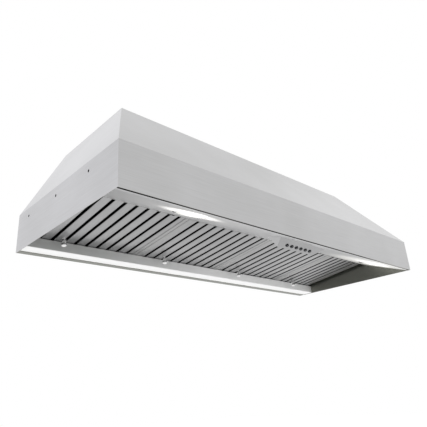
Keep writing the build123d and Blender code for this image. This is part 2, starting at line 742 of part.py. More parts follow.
def lamps():
    """Both lamps and the driver that feeds them."""
    nodes = {}
    clips = []
    for side, x in LAMP_POSITIONS.items():
        bezel, lens, body, pair = lamp(x)
        nodes[f"lamp_{side}_bezel"] = place(PANEL, bezel)
        nodes[f"lamp_{side}_lens"] = place(PANEL, lens)
        nodes[f"lamp_{side}_heat_sink"] = place(PANEL, body)
        clips += [place(PANEL, clip) for clip in pair]
    nodes["lamp_clips"] = group(clips)
    long, wide, tall = DRIVER_SIZE
    case = Pos(DRIVER_X, LAMP_SETBACK, SHEET + tall / 2) * Box(long, wide, tall)
    case = fillet(case.edges().filter_by(Axis.Z), DRIVER_CORNER)
    ears = Pos(DRIVER_X, LAMP_SETBACK, SHEET + DRIVER_EAR_HEIGHT / 2)
    driver = case + ears * Box(long + 2 * DRIVER_EAR, wide / 2, DRIVER_EAR_HEIGHT)
    for x, along in driver_stud_places():
        driver -= Pos(x, along, 0) * Cylinder(SCREW_RADIUS + SCREW_CLEARANCE, 8 * SHEET)
    nodes["lamp_driver"] = place(PANEL, driver)
    return nodes


# ---- control box --------------------------------------------------------------------------
def button_places():
    """The push buttons' x places, a row about the cover's middle."""
    middle = (BUTTON_COUNT - 1) / 2
    return [CONTROL_MIDDLE + BUTTON_PITCH * (index - middle) for index in range(BUTTON_COUNT)]


def control_block(inset):
    """The cover's hipped wedge in the panel's frame; the inset moves its sloping faces inwards."""
    right = CONTROL_LEFT + CONTROL_WIDTH
    back = CONTROL_START + CONTROL_LENGTH
    slopes = {
        "front": (Vector(0, -CONTROL_DEPTH, -CONTROL_FACE_RUN), Vector(0, CONTROL_START, 0)),
        "back": (Vector(0, CONTROL_DEPTH, CONTROL_FACE_RUN - CONTROL_LENGTH), Vector(0, back, 0)),
        "left": (Vector(-CONTROL_DEPTH, 0, -CONTROL_END_RUN), Vector(CONTROL_LEFT, 0, 0)),
        "right": (Vector(CONTROL_DEPTH, 0, -CONTROL_END_RUN), Vector(right, 0, 0)),
    }
    planes = {"base": (Vector(0, 0, 1), 0.0)}
    for name, (direction, point) in slopes.items():
        normal = direction.normalized()
        planes[name] = (normal, normal.dot(point) - inset)
    points = {}
    for side in ("left", "right"):
        for end in ("front", "back"):
            points[side, end] = meeting([planes[side], planes[end], planes["base"]])
        points[side, "foot"] = meeting([planes[side], planes["front"], planes["back"]])
    outlines = [[(side, end) for end in ("front", "back", "foot")] for side in ("left", "right")]
    for first, second in (("front", "back"), ("back", "foot"), ("foot", "front")):
        outlines.append([("left", first), ("left", second), ("right", second), ("right", first)])
    faces = [Face(Wire.make_polygon([points[key] for key in outline])) for outline in outlines]
    return Solid(Shell(faces))


def control_housing():
    """The hipped cover with the drilled button face and two posts for the switch board."""
    housing = place(PANEL, control_block(0.0) - control_block(SHEET))
    for x in button_places():
        hole = Pos(x, BUTTON_EDGE, 0) * Cylinder(BUTTON_RADIUS + BUTTON_HOLE_CLEARANCE, 3 * SHEET)
        housing -= place(FACE, hole)
    for x in board_screw_places():
        post = tube_z(x, BOARD_POST_CLIMB, -SWITCH_SEAT, -SHEET / 2, BOARD_POST_RADIUS)
        bore_foot = -SWITCH_SEAT - BOARD_BORE_DEPTH
        bore_top = -SWITCH_SEAT + BOARD_BORE_DEPTH
        post -= tube_z(x, BOARD_POST_CLIMB, bore_foot, bore_top, board_screw_bore())
        housing += place(FACE, post)
    return housing


def board_screw_places():
    """The x places of the two screws that hold the switch board to the cover's posts."""
    reach = BOARD_LENGTH / 2 - BOARD_POST_INSET
    return [CONTROL_MIDDLE - reach, CONTROL_MIDDLE + reach]


def board_screw_bore():
    """Radius of the holes for the board's screws."""
    return SCREW_RADIUS * BOARD_SCREW_SCALE + SCREW_CLEARANCE


def button():
    """A push button in the face's frame, with its retaining flange and its stem."""
    flange_top = -SHEET - BUTTON_HOLE_CLEARANCE
    flange_foot = flange_top - BUTTON_FLANGE_THICKNESS
    return spun(
        [
            (0, BUTTON_PROUD),
            (BUTTON_RADIUS - 1.2, BUTTON_PROUD),
            (BUTTON_RADIUS - 0.35, BUTTON_PROUD - 0.35),
            (BUTTON_RADIUS, BUTTON_PROUD - 1.2),
            (BUTTON_RADIUS, flange_top),
            (BUTTON_RADIUS + BUTTON_FLANGE, flange_top),
            (BUTTON_RADIUS + BUTTON_FLANGE, flange_foot),
            (BUTTON_STEM_RADIUS, flange_foot),
            (BUTTON_STEM_RADIUS, flange_foot - BUTTON_STEM_LENGTH),
            (0, flange_foot - BUTTON_STEM_LENGTH),
        ]
    )


def push_switch():
    """A switch body on the board, with the bore that takes a button's stem."""
    body = Pos(0, 0, SWITCH_HEIGHT / 2) * Box(SWITCH_SIZE, SWITCH_SIZE, SWITCH_HEIGHT)
    bore = BUTTON_STEM_RADIUS + BUTTON_HOLE_CLEARANCE
    return body - Pos(0, 0, SWITCH_HEIGHT) * Cylinder(bore, 2 * SWITCH_HEIGHT - 1)


def controls():
    """The cover, the switch board, its switches and the buttons."""
    nodes = {"control_housing": control_housing()}
    board = cuboid(
        CONTROL_MIDDLE - BOARD_LENGTH / 2,
        CONTROL_MIDDLE + BOARD_LENGTH / 2,
        BOARD_FOOT,
        BOARD_FOOT + BOARD_WIDTH,
        -SWITCH_SEAT - BOARD_THICKNESS,
        -SWITCH_SEAT,
    )
    for x in board_screw_places():
        board -= Pos(x, BOARD_POST_CLIMB, -SWITCH_SEAT) * Cylinder(board_screw_bore(), 4 * BOARD_THICKNESS)
    nodes["control_board"] = place(FACE, board)
    switches = [Pos(x, BUTTON_EDGE, -SWITCH_SEAT) * push_switch() for x in button_places()]
    nodes["push_switches"] = group([place(FACE, switch) for switch in switches])
    for number, x in enumerate(button_places(), start=1):
        nodes[f"button_{number}"] = place(FACE, Pos(x, BUTTON_EDGE, 0) * button())
    return nodes


# ---- blower -------------------------------------------------------------------------------
def scroll_face(inset):
    """The scroll's outline, its radius growing evenly with the turn, drawn inset inwards."""
    turns = 24
    curve = []
    for index in range(turns + 1):
        turn = SCROLL_SWEEP * index / turns
        radius = SCROLL_END - (SCROLL_END - SCROLL_START) * turn / SCROLL_SWEEP - inset
        y = WHEEL_AXIS_Y + radius * cos(radians(-turn))
        z = WHEEL_AXIS_Z + radius * sin(radians(-turn))
        curve.append((y, z))
    ceiling = TOP_UNDERSIDE + (5 if inset else 0)
    tongue = OUTLET_FRONT + inset
    tongue_z = WHEEL_AXIS_Z + SCROLL_START * sin(radians(-SCROLL_SWEEP))
    rest = [curve[-1]]
    if inset:
        rest.append((tongue, tongue_z))
    rest += [(tongue, ceiling), (OUTLET_BACK - inset, ceiling), curve[0]]
    edges = Curve() + [Plane.YZ * Spline(*curve), Plane.YZ * Polyline(*rest)]
    return make_face(edges)


def inlet(side):
    """The bell-mouthed inlet pressed into a side plate; side is -1 or 1."""
    plate = SCROLL_WIDTH / 2 + SCROLL_SHEET
    throat = SCROLL_WIDTH / 2 - INLET_DEPTH
    knee = (plate - 3.5, INLET_THROAT + 3)
    skin = SCROLL_SHEET
    outer = Spline((plate, INLET_RADIUS), knee, (throat, INLET_THROAT))
    inner_knee = (knee[0] + 0.7 * skin, knee[1] - skin)
    inner = Spline((throat, INLET_THROAT - skin), inner_knee, (plate, INLET_RADIUS - skin))
    ends = [Line((throat, INLET_THROAT), (throat, INLET_THROAT - skin))]
    ends.append(Line((plate, INLET_RADIUS - skin), (plate, INLET_RADIUS)))
    bell = revolve(make_face(Curve() + [outer, inner] + ends), Axis.X)
    if side < 0:
        bell = mirror(bell, Plane.YZ)
    return Pos(0, WHEEL_AXIS_Y, WHEEL_AXIS_Z) * bell


def arm_screw_places():
    """The motor bracket's screws on the right side plate, as (y, z)."""
    return [
        (
            WHEEL_AXIS_Y + BRACKET_SCREW_CIRCLE * cos(radians(angle)),
            WHEEL_AXIS_Z + BRACKET_SCREW_CIRCLE * sin(radians(angle)),
        )
        for angle in BRACKET_ANGLES
    ]


def side_plate(side):
    """One side of the blower, with its inlet and its flange under the top panel."""
    inside = SCROLL_WIDTH / 2
    outside = inside + SCROLL_SHEET
    plate = Pos(inside, 0, 0) * extrude(scroll_face(0.0), amount=SCROLL_SHEET, dir=(1, 0, 0))
    plate -= tube_x(inside - 1, outside + 1, INLET_RADIUS - SCROLL_SHEET / 2)
    plate += cuboid(
        outside,
        outside + NECK_FLANGE,
        OUTLET_FRONT,
        OUTLET_BACK,
        TOP_UNDERSIDE - SCROLL_SHEET,
        TOP_UNDERSIDE,
    )
    if side > 0:
        for y, z in arm_screw_places():
            plate -= tube_x(inside - 1, outside + 1, SCREW_RADIUS + SCREW_CLEARANCE, 0.0, y, z)
    else:
        plate = mirror(plate, Plane.YZ)
    plate += inlet(side)
    for x, y in top_screw_places():
        plate -= drill(x, y, *THROUGH_TOP)
    return plate


def scroll_wrapper():
    """The curved sheet between the side plates, with flanges under the top panel."""
    half = SCROLL_WIDTH / 2
    wrapper = extrude(scroll_face(0.0), amount=SCROLL_WIDTH, dir=(1, 0, 0))
    wrapper -= extrude(scroll_face(SCROLL_SHEET), amount=SCROLL_WIDTH, dir=(1, 0, 0))
    wrapper = Pos(-half, 0, 0) * wrapper
    low = TOP_UNDERSIDE - SCROLL_SHEET
    wrapper += cuboid(-half, half, OUTLET_FRONT - NECK_FLANGE, OUTLET_FRONT, low, TOP_UNDERSIDE)
    wrapper += cuboid(-half, half, OUTLET_BACK, OUTLET_BACK + NECK_FLANGE, low, TOP_UNDERSIDE)
    for x, y in top_screw_places():
        wrapper -= drill(x, y, *THROUGH_TOP)
    return wrapper


def blade_outlines():
    """All the blades' cross-sections round the wheel's axis."""
    middle = (BLADE_INNER + BLADE_OUTER) / 2
    tip = (BLADE_OUTER * cos(radians(BLADE_SWEEP / 2)), BLADE_OUTER * sin(radians(BLADE_SWEEP / 4)))
    blade = Polyline(
        (BLADE_INNER, 0),
        (middle, -BLADE_CAMBER),
        tip,
        (tip[0], tip[1] + BLADE_SHEET),
        (middle, BLADE_SHEET - BLADE_CAMBER),
        (BLADE_INNER, BLADE_SHEET),
        close=True,
    )
    outline = make_face(blade)
    return [Rot(0, 0, 360 * index / BLADE_COUNT) * outline for index in range(BLADE_COUNT)]


def blower_wheel():
    """The double-inlet wheel: a slotted centre disc with its hub, two end rings and the blades."""
    length = WHEEL_WIDTH - 2 * WHEEL_RING
    blades = []
    for outline in blade_outlines():
        blades.append(Pos(0, 0, -length / 2) * extrude(outline, amount=length))
    disc = Cylinder(WHEEL_RADIUS - DISC_RECESS, DISC_THICKNESS)
    disc += Cylinder(HUB_RADIUS, HUB_LENGTH)
    disc -= blades
    disc -= Cylinder(SHAFT_RADIUS, 2 * HUB_LENGTH)
    ring = Cylinder(WHEEL_RADIUS, WHEEL_RING) - Cylinder(WHEEL_RADIUS - RING_WIDTH, WHEEL_RING)
    rings = [Pos(0, 0, side * (WHEEL_WIDTH - WHEEL_RING) / 2) * ring for side in (-1, 1)]
    axis = Location((0, WHEEL_AXIS_Y, WHEEL_AXIS_Z), (0, 90, 0))
    return {
        "blower_wheel": group([axis * piece for piece in [disc, *rings]]),
        "wheel_blades": group([axis * blade for blade in blades]),
    }


def motor():
    """The motor on its bracket: case, stator, rotor, shaft and two bearings."""
    start, end = MOTOR_START, MOTOR_START + MOTOR_LENGTH
    running = SHAFT_RADIUS + SHAFT_RUNNING_CLEARANCE
    case = tube_x(start, end, MOTOR_RADIUS)
    case -= tube_x(start + MOTOR_END_WALL, end - MOTOR_END_WALL, MOTOR_RADIUS - MOTOR_WALL)
    seats = (start + MOTOR_END_WALL, end - MOTOR_END_WALL - BEARING_WIDTH)
    for seat in seats:
        case += tube_x(seat, seat + BEARING_WIDTH, BEARING_RADIUS + BEARING_BOSS, BEARING_RADIUS)
    case -= tube_x(start - 1, end + 1, BEARING_RADIUS - 3)
    middle = (start + end) / 2
    stack = (middle - STACK_LENGTH / 2, middle + STACK_LENGTH / 2)
    bearings = [tube_x(seat, seat + BEARING_WIDTH, BEARING_RADIUS, running) for seat in seats]
    bracket = tube_x(end - BRACKET_BAND, end, MOTOR_RADIUS + BRACKET_SHEET, MOTOR_RADIUS)
    plate = SCROLL_WIDTH / 2 + SCROLL_SHEET
    for angle in BRACKET_ANGLES:
        arm = cuboid(
            plate,
            plate + BRACKET_SHEET,
            MOTOR_RADIUS + BRACKET_SHEET / 2,
            BRACKET_REACH,
            -BRACKET_ARM / 2,
            BRACKET_ARM / 2,
        )
        bracket += Pos(0, WHEEL_AXIS_Y, WHEEL_AXIS_Z) * (Rot(angle, 0, 0) * arm)
    for y, z in arm_screw_places():
        bracket -= tube_x(plate - DRILL_REACH, plate + DRILL_REACH, SCREW_RADIUS + SCREW_CLEARANCE, 0.0, y, z)
    return {
        "motor_case": case,
        "motor_stator": tube_x(*stack, MOTOR_RADIUS - MOTOR_WALL, ROTOR_RADIUS + AIR_GAP),
        "motor_rotor": tube_x(*stack, ROTOR_RADIUS, SHAFT_RADIUS),
        "motor_shaft": tube_x(-HUB_LENGTH / 2, end + 4, SHAFT_RADIUS),
        "motor_bearings": group(bearings),
        "motor_bracket": bracket,
    }


# ---- duct collar and damper ---------------------------------------------------------------
def duct_collar():
    """The round outlet collar with its flange and the ring that the flaps close on."""
    inner = COLLAR_RADIUS - SHEET
    collar = tube_z(0, OUTLET_Y, BODY_HEIGHT, BODY_HEIGHT + COLLAR_HEIGHT, COLLAR_RADIUS, inner)
    collar += tube_z(0, OUTLET_Y, BODY_HEIGHT, BODY_HEIGHT + SHEET, COLLAR_RADIUS + COLLAR_FLANGE, inner)
    ring_top = ROD_Z - FLAP_SHEET / 2 - SEAT_CLEARANCE
    ring = tube_z(0, OUTLET_Y, ring_top - STOP_RING_THICKNESS, ring_top, inner + SHEET / 2, inner - STOP_RING)
    gap = KNUCKLE_RADIUS + KNUCKLE_GAP
    reach = inner - SEAT_CLEARANCE
    low, high = ring_top - 2 * STOP_RING_THICKNESS, ring_top + STOP_RING_THICKNESS
    ring -= cuboid(-reach, reach, OUTLET_Y - gap, OUTLET_Y + gap, low, high)
    collar += ring
    collar -= tube_x(-COLLAR_RADIUS - 1, COLLAR_RADIUS + 1, ROD_RADIUS + ROD_CLEARANCE, 0.0, OUTLET_Y, ROD_Z)
    for x, y in collar_screw_places():
        collar -= drill(x, y, BODY_HEIGHT - 1, BODY_HEIGHT + 2 * SHEET)
    return collar


def damper_flap(side):
    """One half-round flap with its two knuckles on the rod; side is "front" or "back"."""
    radius = COLLAR_RADIUS - SHEET - FLAP_CLEARANCE
    edge = KNUCKLE_RADIUS + KNUCKLE_GAP
    half = FLAP_SHEET / 2
    flap = Cylinder(radius, FLAP_SHEET)
    flap -= cuboid(-radius - 1, radius + 1, -radius - 1, edge, -1, 1)
    for x in KNUCKLE_POSITIONS[side]:
        low, high = x - KNUCKLE_LENGTH / 2, x + KNUCKLE_LENGTH / 2
        flap += cuboid(low, high, ROD_RADIUS + 1, edge + 1, -half, half)
        flap += tube_x(low, high, KNUCKLE_RADIUS, 0.0, 0, 0)
        flap -= tube_x(low - 1, high + 1, ROD_RADIUS + ROD_CLEARANCE, 0.0, 0, 0)
    if side == "front":
        flap = mirror(flap, Plane.XZ)
    return Pos(0, OUTLET_Y, ROD_Z) * flap


def outlet():
    """The collar, the damper's rod and its two flaps."""
    reach = COLLAR_RADIUS - SHEET / 3
    return {
        "duct_collar": duct_collar(),
        "damper_rod": tube_x(-reach, reach, ROD_RADIUS, 0.0, OUTLET_Y, ROD_Z),
        "damper_flap_front": damper_flap("front"),
        "damper_flap_back": damper_flap("back"),
    }


# ---- electrics on the top panel -----------------------------------------------------------
def cover_screw_places():
    """The junction cover's screws, as (x, y)."""
    reach = JUNCTION_SIZE[0] / 2 - JUNCTION_TAB / 2
    return [(JUNCTION_CENTRE[0] + side * reach, JUNCTION_CENTRE[1]) for side in (-1, 1)]


def electrics():
    """Junction box with its cover and gland, and the motor's capacitor in its clamp."""
    x, y = JUNCTION_CENTRE
    long, wide, tall = JUNCTION_SIZE
    skin = JUNCTION_SHEET
    box = Pos(x, y, JUNCTION_Z + tall / 2) * Box(long, wide, tall)
    box -= Pos(x, y, JUNCTION_Z + tall / 2 - skin) * Box(long - 2 * skin, wide - 2 * skin, tall)
    for side in (-1, 1):
        tab_x = x + side * (long / 2 - JUNCTION_TAB / 2)
        box += Pos(tab_x, y, JUNCTION_Z + skin / 2) * Box(JUNCTION_TAB, wide - skin, skin)
    for spot_x, spot_y in junction_screw_places():
        box -= drill(spot_x, spot_y, *THROUGH_TOP)
    cover = Pos(x, y, JUNCTION_Z - skin / 2) * Box(long, wide, skin)
    for spot_x, spot_y in cover_screw_places():
        box -= drill(spot_x, spot_y, JUNCTION_Z - 2 * skin, JUNCTION_Z + 2 * skin)
        cover -= drill(spot_x, spot_y, JUNCTION_Z - 2 * skin, JUNCTION_Z + 2 * skin)
    box -= drill(x, y, *THROUGH_TOP, GLAND_RADIUS + HOLE_CLEARANCE)
    nut_foot = TOP_UNDERSIDE - skin - GLAND_NUT_HEIGHT
    gland = tube_z(x, y, nut_foot - 1, BODY_HEIGHT + 1, GLAND_RADIUS, GLAND_BORE)
    gland += tube_z(x, y, BODY_HEIGHT, BODY_HEIGHT + GLAND_HEAD_HEIGHT, GLAND_HEAD_RADIUS, GLAND_BORE)
    rim = gland.edges().filter_by(GeomType.CIRCLE).group_by(Axis.Z)[-1].sort_by(Edge.length)[-1]
    gland = fillet(rim, GLAND_ROUNDING)
    nut = Pos(x, y, nut_foot) * extrude(RegularPolygon(GLAND_NUT_RADIUS, 6), amount=GLAND_NUT_HEIGHT)
    nut -= tube_z(x, y, nut_foot - 1, nut_foot + GLAND_NUT_HEIGHT + 1, GLAND_RADIUS)
    cap_x, cap_y = CAPACITOR_CENTRE
    low, high = cap_x - CAPACITOR_LENGTH / 2, cap_x + CAPACITOR_LENGTH / 2
    capacitor = tube_x(low, high, CAPACITOR_RADIUS, 0.0, cap_y, CAPACITOR_Z)
    capacitor = fillet(capacitor.edges().filter_by(GeomType.CIRCLE), CAPACITOR_ROUNDING)
    left, right = cap_x - CLAMP_WIDTH / 2, cap_x + CLAMP_WIDTH / 2
    clamp = tube_x(left, right, CAPACITOR_RADIUS + CLAMP_SHEET, CAPACITOR_RADIUS, cap_y, CAPACITOR_Z)
    clamp += cuboid(left, right, cap_y, cap_y + CLAMP_TAB, TOP_UNDERSIDE - CLAMP_SHEET - 0.1, TOP_UNDERSIDE)
    clamp -= tube_x(left - 1, right + 1, CAPACITOR_RADIUS, 0.0, cap_y, CAPACITOR_Z)
    clamp -= drill(*clamp_screw_place(), *THROUGH_TOP)
    return {
        "junction_box": box,
        "junction_box_cover": cover,
        "cable_gland": group([gland, nut]),
        "capacitor": capacitor,
        "capacitor_clamp": clamp,
    }


# ---- fasteners ----------------------------------------------------------------------------
def screw(grip):
    """A pan-head screw along the local z axis, its head resting on the plane z = 0."""
    edge = SCREW_HEAD_RADIUS * 0.25
    tail = -grip - SCREW_TAIL
    return spun(
        [
            (0, SCREW_HEAD_HEIGHT),
            (SCREW_HEAD_RADIUS - edge, SCREW_HEAD_HEIGHT),
            (SCREW_HEAD_RADIUS, SCREW_HEAD_HEIGHT - edge),
            (SCREW_HEAD_RADIUS, 0),
            (SCREW_RADIUS, 0),
            (SCREW_RADIUS, tail + SCREW_RADIUS / 2),
            (SCREW_RADIUS / 2, tail),
            (0, tail),
        ]
    )


def screws():
    """Every screw: top panel, collar, junction box, capacitor, switch board and motor bracket."""
    solids = []
    for x, y in top_screw_places() + junction_screw_places():
        solids.append(Pos(x, y, BODY_HEIGHT) * screw(SHEET + SCROLL_SHEET))
    for x, y in collar_screw_places():
        solids.append(Pos(x, y, BODY_HEIGHT + SHEET) * screw(2 * SHEET))
    x, y = clamp_screw_place()
    solids.append(Pos(x, y, BODY_HEIGHT) * screw(SHEET + CLAMP_SHEET))
    for x, y in cover_screw_places():
        spot = Location((x, y, JUNCTION_Z - JUNCTION_SHEET), (180, 0, 0))
        solids.append(spot * screw(2 * JUNCTION_SHEET))
    small = scale(screw(2 * BOARD_THICKNESS), BOARD_SCREW_SCALE)
    for x in board_screw_places():
        spot = Location((x, BOARD_POST_CLIMB, -SWITCH_SEAT - BOARD_THICKNESS), (180, 0, 0))
        solids.append(place(FACE, spot * small))
    plate = SCROLL_WIDTH / 2 + SCROLL_SHEET
    for y, z in arm_screw_places():
        spot = Location((plate + BRACKET_SHEET, y, z), (0, 90, 0))
        solids.append(spot * screw(BRACKET_SHEET + SCROLL_SHEET))
    return group(solids)


def hex_nuts():
    """The nuts on the studs that hold the lamp driver."""
    nut = extrude(RegularPolygon(NUT_RADIUS, 6), amount=NUT_HEIGHT)
    nut -= Cylinder(SCREW_RADIUS + SCREW_CLEARANCE, 4 * NUT_HEIGHT)
    height = SHEET + DRIVER_EAR_HEIGHT
    return group([place(PANEL, Pos(x, along, height) * nut) for x, along in driver_stud_places()])


def main():
    """Build every sub-part and write one file for each."""
    nodes = canopy()
    nodes["light_panel"] = light_panel()
    nodes["filter_rail"] = filter_rail()
    nodes["grease_trough"] = grease_trough()
    nodes["side_filler"] = side_filler()
    nodes.update(filters())
    nodes.update(lamps())
    nodes.update(controls())
    nodes["blower_wrapper"] = scroll_wrapper()
    nodes["blower_side_left"] = side_plate(-1)
    nodes["blower_side_right"] = side_plate(1)
    nodes.update(blower_wheel())
    nodes.update(motor())
    nodes.update(outlet())
    nodes.update(electrics())
    nodes["screws"] = screws()
    nodes["hex_nuts"] = hex_nuts()
    os.makedirs("parts", exist_ok=True)
    for name, shape in nodes.items():
        export_step(shape, f"parts/{name}.step")
    return nodes


if __name__ == "__main__":
    main()
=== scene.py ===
import logging
from dataclasses import dataclass
from enum import Enum
from math import atan2, cos, hypot, pi, radians, sin
from typing import Any

import bpy
import numpy as np
from mathutils import Matrix, Vector


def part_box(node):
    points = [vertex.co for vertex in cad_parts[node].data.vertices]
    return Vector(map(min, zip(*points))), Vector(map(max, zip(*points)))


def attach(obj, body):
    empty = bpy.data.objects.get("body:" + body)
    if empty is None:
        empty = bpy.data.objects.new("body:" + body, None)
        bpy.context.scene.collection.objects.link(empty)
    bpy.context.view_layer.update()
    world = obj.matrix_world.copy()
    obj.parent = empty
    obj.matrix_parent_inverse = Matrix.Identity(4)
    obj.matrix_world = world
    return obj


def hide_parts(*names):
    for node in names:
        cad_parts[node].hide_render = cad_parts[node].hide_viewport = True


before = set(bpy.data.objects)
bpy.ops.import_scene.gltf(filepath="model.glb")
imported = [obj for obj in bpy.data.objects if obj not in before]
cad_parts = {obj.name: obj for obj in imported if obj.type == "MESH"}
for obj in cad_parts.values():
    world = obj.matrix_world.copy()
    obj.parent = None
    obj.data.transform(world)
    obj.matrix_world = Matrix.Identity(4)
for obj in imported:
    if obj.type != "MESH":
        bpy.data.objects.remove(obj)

logging.basicConfig(level=logging.INFO, format="%(message)s")
log = logging.getLogger("hood")

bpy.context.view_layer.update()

# ---- the photograph's camera ----------------------------------------------------------------
PHOTO_SIDE = 427
FOCAL_PIXELS = 453.5
SENSOR_WIDTH = 36.0
CAMERA_PLACE = (-0.9767, -0.8857, -0.3575)
CAMERA_TURN = radians(44.14)
CAMERA_RISE = radians(21.65)
CAMERA_ROLL = radians(-3.75)

# ---- sizes of the shown pieces, in metres ---------------------------------------------------
RAIL_Y = -0.068
RAIL_Z = 0.060
TROUGH_Y = 0.178
TROUGH_Z = 0.028
PANEL_FRONT_Y = -0.229
LAMP_SETBACK = 0.077
CONTROL_START = 0.041
CONTROL_FACE_RUN = 0.0257
CONTROL_DEPTH = 0.0244
BUTTON_CLIMB = 0.0135
KNOB_SETBACK = 0.023
SKIRT_TOP = 0.0995
INNER_FACE_X = 0.5834
INNER_FACE_Y = 0.2374
MILLIMETRE = 0.001
ARC_STEPS = 5
TURN_STEPS = 64

LAMP_LIGHT = "#fffdf8"

Tree = bpy.types.NodeTree
Socket = bpy.types.NodeSocket
Span = tuple[float, float]


# ---- numpy surfaces -------------------------------------------------------------------------
@dataclass(frozen=True)
class Slope:
    """A local frame: x across, y along the slope, z out of it."""

    origin: tuple[float, float, float]
    along: tuple[float, float, float]
    out: tuple[float, float, float]

    def place(self, points: np.ndarray) -> np.ndarray:
        """Local points carried into the model: origin + x across + y along + z out.

        Args:
            points: local coordinates, one row for each point.

        Returns:
            The same points in the model's own axes.
        """
        along = np.array(self.along)
        out = np.array(self.out)
        axes = np.stack([np.cross(along, out), along, out])
        return np.array(self.origin) + points @ axes


def filter_slope() -> Slope:
    """The filters' frame: origin at the rail, y down to the trough, z into the canopy."""
    tilt = atan2(RAIL_Z - TROUGH_Z, TROUGH_Y - RAIL_Y)
    return Slope((0.0, RAIL_Y, RAIL_Z), (0.0, cos(tilt), -sin(tilt)), (0.0, sin(tilt), cos(tilt)))


def panel_slope() -> Slope:
    """The light panel's frame: origin at its front edge, y up to the rail, z into the canopy."""
    tilt = atan2(RAIL_Z, RAIL_Y - PANEL_FRONT_Y)
    along, out = (0.0, cos(tilt), sin(tilt)), (0.0, -sin(tilt), cos(tilt))
    return Slope((0.0, PANEL_FRONT_Y, 0.0), along, out)


def face_slope() -> Slope:
    """The button face's frame: origin at its foot, y up the face, z out of it."""
    ends = [(0.0, CONTROL_START, 0.0), (0.0, CONTROL_START + CONTROL_FACE_RUN, -CONTROL_DEPTH)]
    top, foot = panel_slope().place(np.array(ends))
    climb = (top - foot) / np.linalg.norm(top - foot)
    out = (0.0, -float(climb[2]), float(climb[1]))
    return Slope(tuple(foot.tolist()), tuple(climb.tolist()), out)


def rounded(outline: np.ndarray, radii: np.ndarray | float, steps: int = ARC_STEPS) -> np.ndarray:
    """A closed outline with an arc at each corner.

    With a and b the unit directions from a corner to its neighbours and h half the angle between
    them, the arc's centre lies on their bisector at radius / sin h, and its points turn evenly
    from the tangent point on a to the one on b.

    Args:
        outline: the corners, one row each.
        radii: one radius, or one for each corner.
        steps: how many points each arc has.

    Returns:
        The rounded outline's points.
    """
    before = np.roll(outline, 1, axis=0) - outline
    after = np.roll(outline, -1, axis=0) - outline
    a = before / np.linalg.norm(before, axis=1, keepdims=True)
    b = after / np.linalg.norm(after, axis=1, keepdims=True)
    half = np.arccos(np.clip(np.sum(a * b, axis=1), -1.0, 1.0)) / 2
    radius = np.broadcast_to(np.asarray(radii, dtype=float), half.shape)
    bisector = a + b
    bisector /= np.maximum(np.linalg.norm(bisector, axis=1, keepdims=True), 1e-9)
    centre = outline + bisector * (radius / np.sin(half))[:, None]
    start = outline + a * (radius / np.tan(half))[:, None] - centre
    end = outline + b * (radius / np.tan(half))[:, None] - centre
    first = np.arctan2(start[:, 1], start[:, 0])
    sweep = np.arctan2(end[:, 1], end[:, 0]) - first
    sweep = (sweep + pi) % (2 * pi) - pi
    turn = first[:, None] + sweep[:, None] * np.linspace(0.0, 1.0, steps)[None, :]
    ring = np.stack([np.cos(turn), np.sin(turn)], axis=-1) * radius[:, None, None]
    return (centre[:, None, :] + ring).reshape(-1, 2)


def softened(profile: np.ndarray, radius: float) -> np.ndarray:
    """An open profile whose inner corners are arcs, while its two ends stay where they are."""
    arcs = rounded(profile, radius).reshape(len(profile), ARC_STEPS, 2)[1:-1]
    return np.vstack([profile[:1], arcs.reshape(-1, 2), profile[-1:]])


def offset_line(line: np.ndarray, distance: float) -> np.ndarray:
    """An open line moved to its left, with mitred corners.

    Each corner moves along the sum of its two legs' normals n1 and n2, divided by 1 + n1.n2.

    Args:
        line: the points, one row each.
        distance: how far to the left.

    Returns:
        The moved points.
    """
    legs = np.diff(line, axis=0)
    normals = np.stack([-legs[:, 1], legs[:, 0]], axis=1)
    normals /= np.linalg.norm(normals, axis=1, keepdims=True)
    first = np.vstack([normals[:1], normals])
    second = np.vstack([normals, normals[-1:]])
    spread = 1 + np.sum(first * second, axis=1, keepdims=True)
    return line + distance * (first + second) / spread


def sheet_outline(line: np.ndarray, sheet: float, bend: float) -> np.ndarray:
    """The closed outline of a folded sheet, its folds rounded on both faces.

    Args:
        line: the sheet's right-hand face, as an open line.
        sheet: its thickness.
        bend: the inside radius of its folds.

    Returns:
        The closed outline, with a small radius on the cut edges.
    """
    legs = np.diff(line, axis=0)
    turns = np.cross(legs[:-1], legs[1:])
    right = np.where(turns > 0, bend + sheet, bend)
    left = np.where(turns > 0, bend, bend + sheet)
    edge = sheet * 0.2
    radii = np.concatenate([[edge], right, [edge, edge], left[::-1], [edge]])
    return rounded(np.vstack([line, offset_line(line, sheet)[::-1]]), radii)


def carried(outline: np.ndarray, low: np.ndarray | float, high: np.ndarray | float) -> tuple:
    """A closed outline of (y, z) points carried along x, with a flat face at each end.

    The surface is S(i, t) = (low_i + t (high_i - low_i), y_i, z_i) for t from 0 to 1.

    Args:
        outline: the outline's points.
        low: where each point's line starts in x.
        high: where it ends.

    Returns:
        Vertices and faces.
    """
    count = len(outline)
    ends = [np.broadcast_to(np.asarray(x, dtype=float), (count,)) for x in (low, high)]
    points = np.vstack([np.column_stack([x, outline]) for x in ends])
    index = np.arange(count)
    after = (index + 1) % count
    walls = np.column_stack([index, after, after + count, index + count])
    area = np.sum(outline[:, 0] * outline[after, 1] - outline[after, 0] * outline[:, 1])
    faces = walls.tolist()
    near, far = index[::-1].tolist(), (index + count).tolist()
    if area < 0:
        faces = walls[:, ::-1].tolist()
        near, far = near[::-1], far[::-1]
    return points, faces + [near, far]


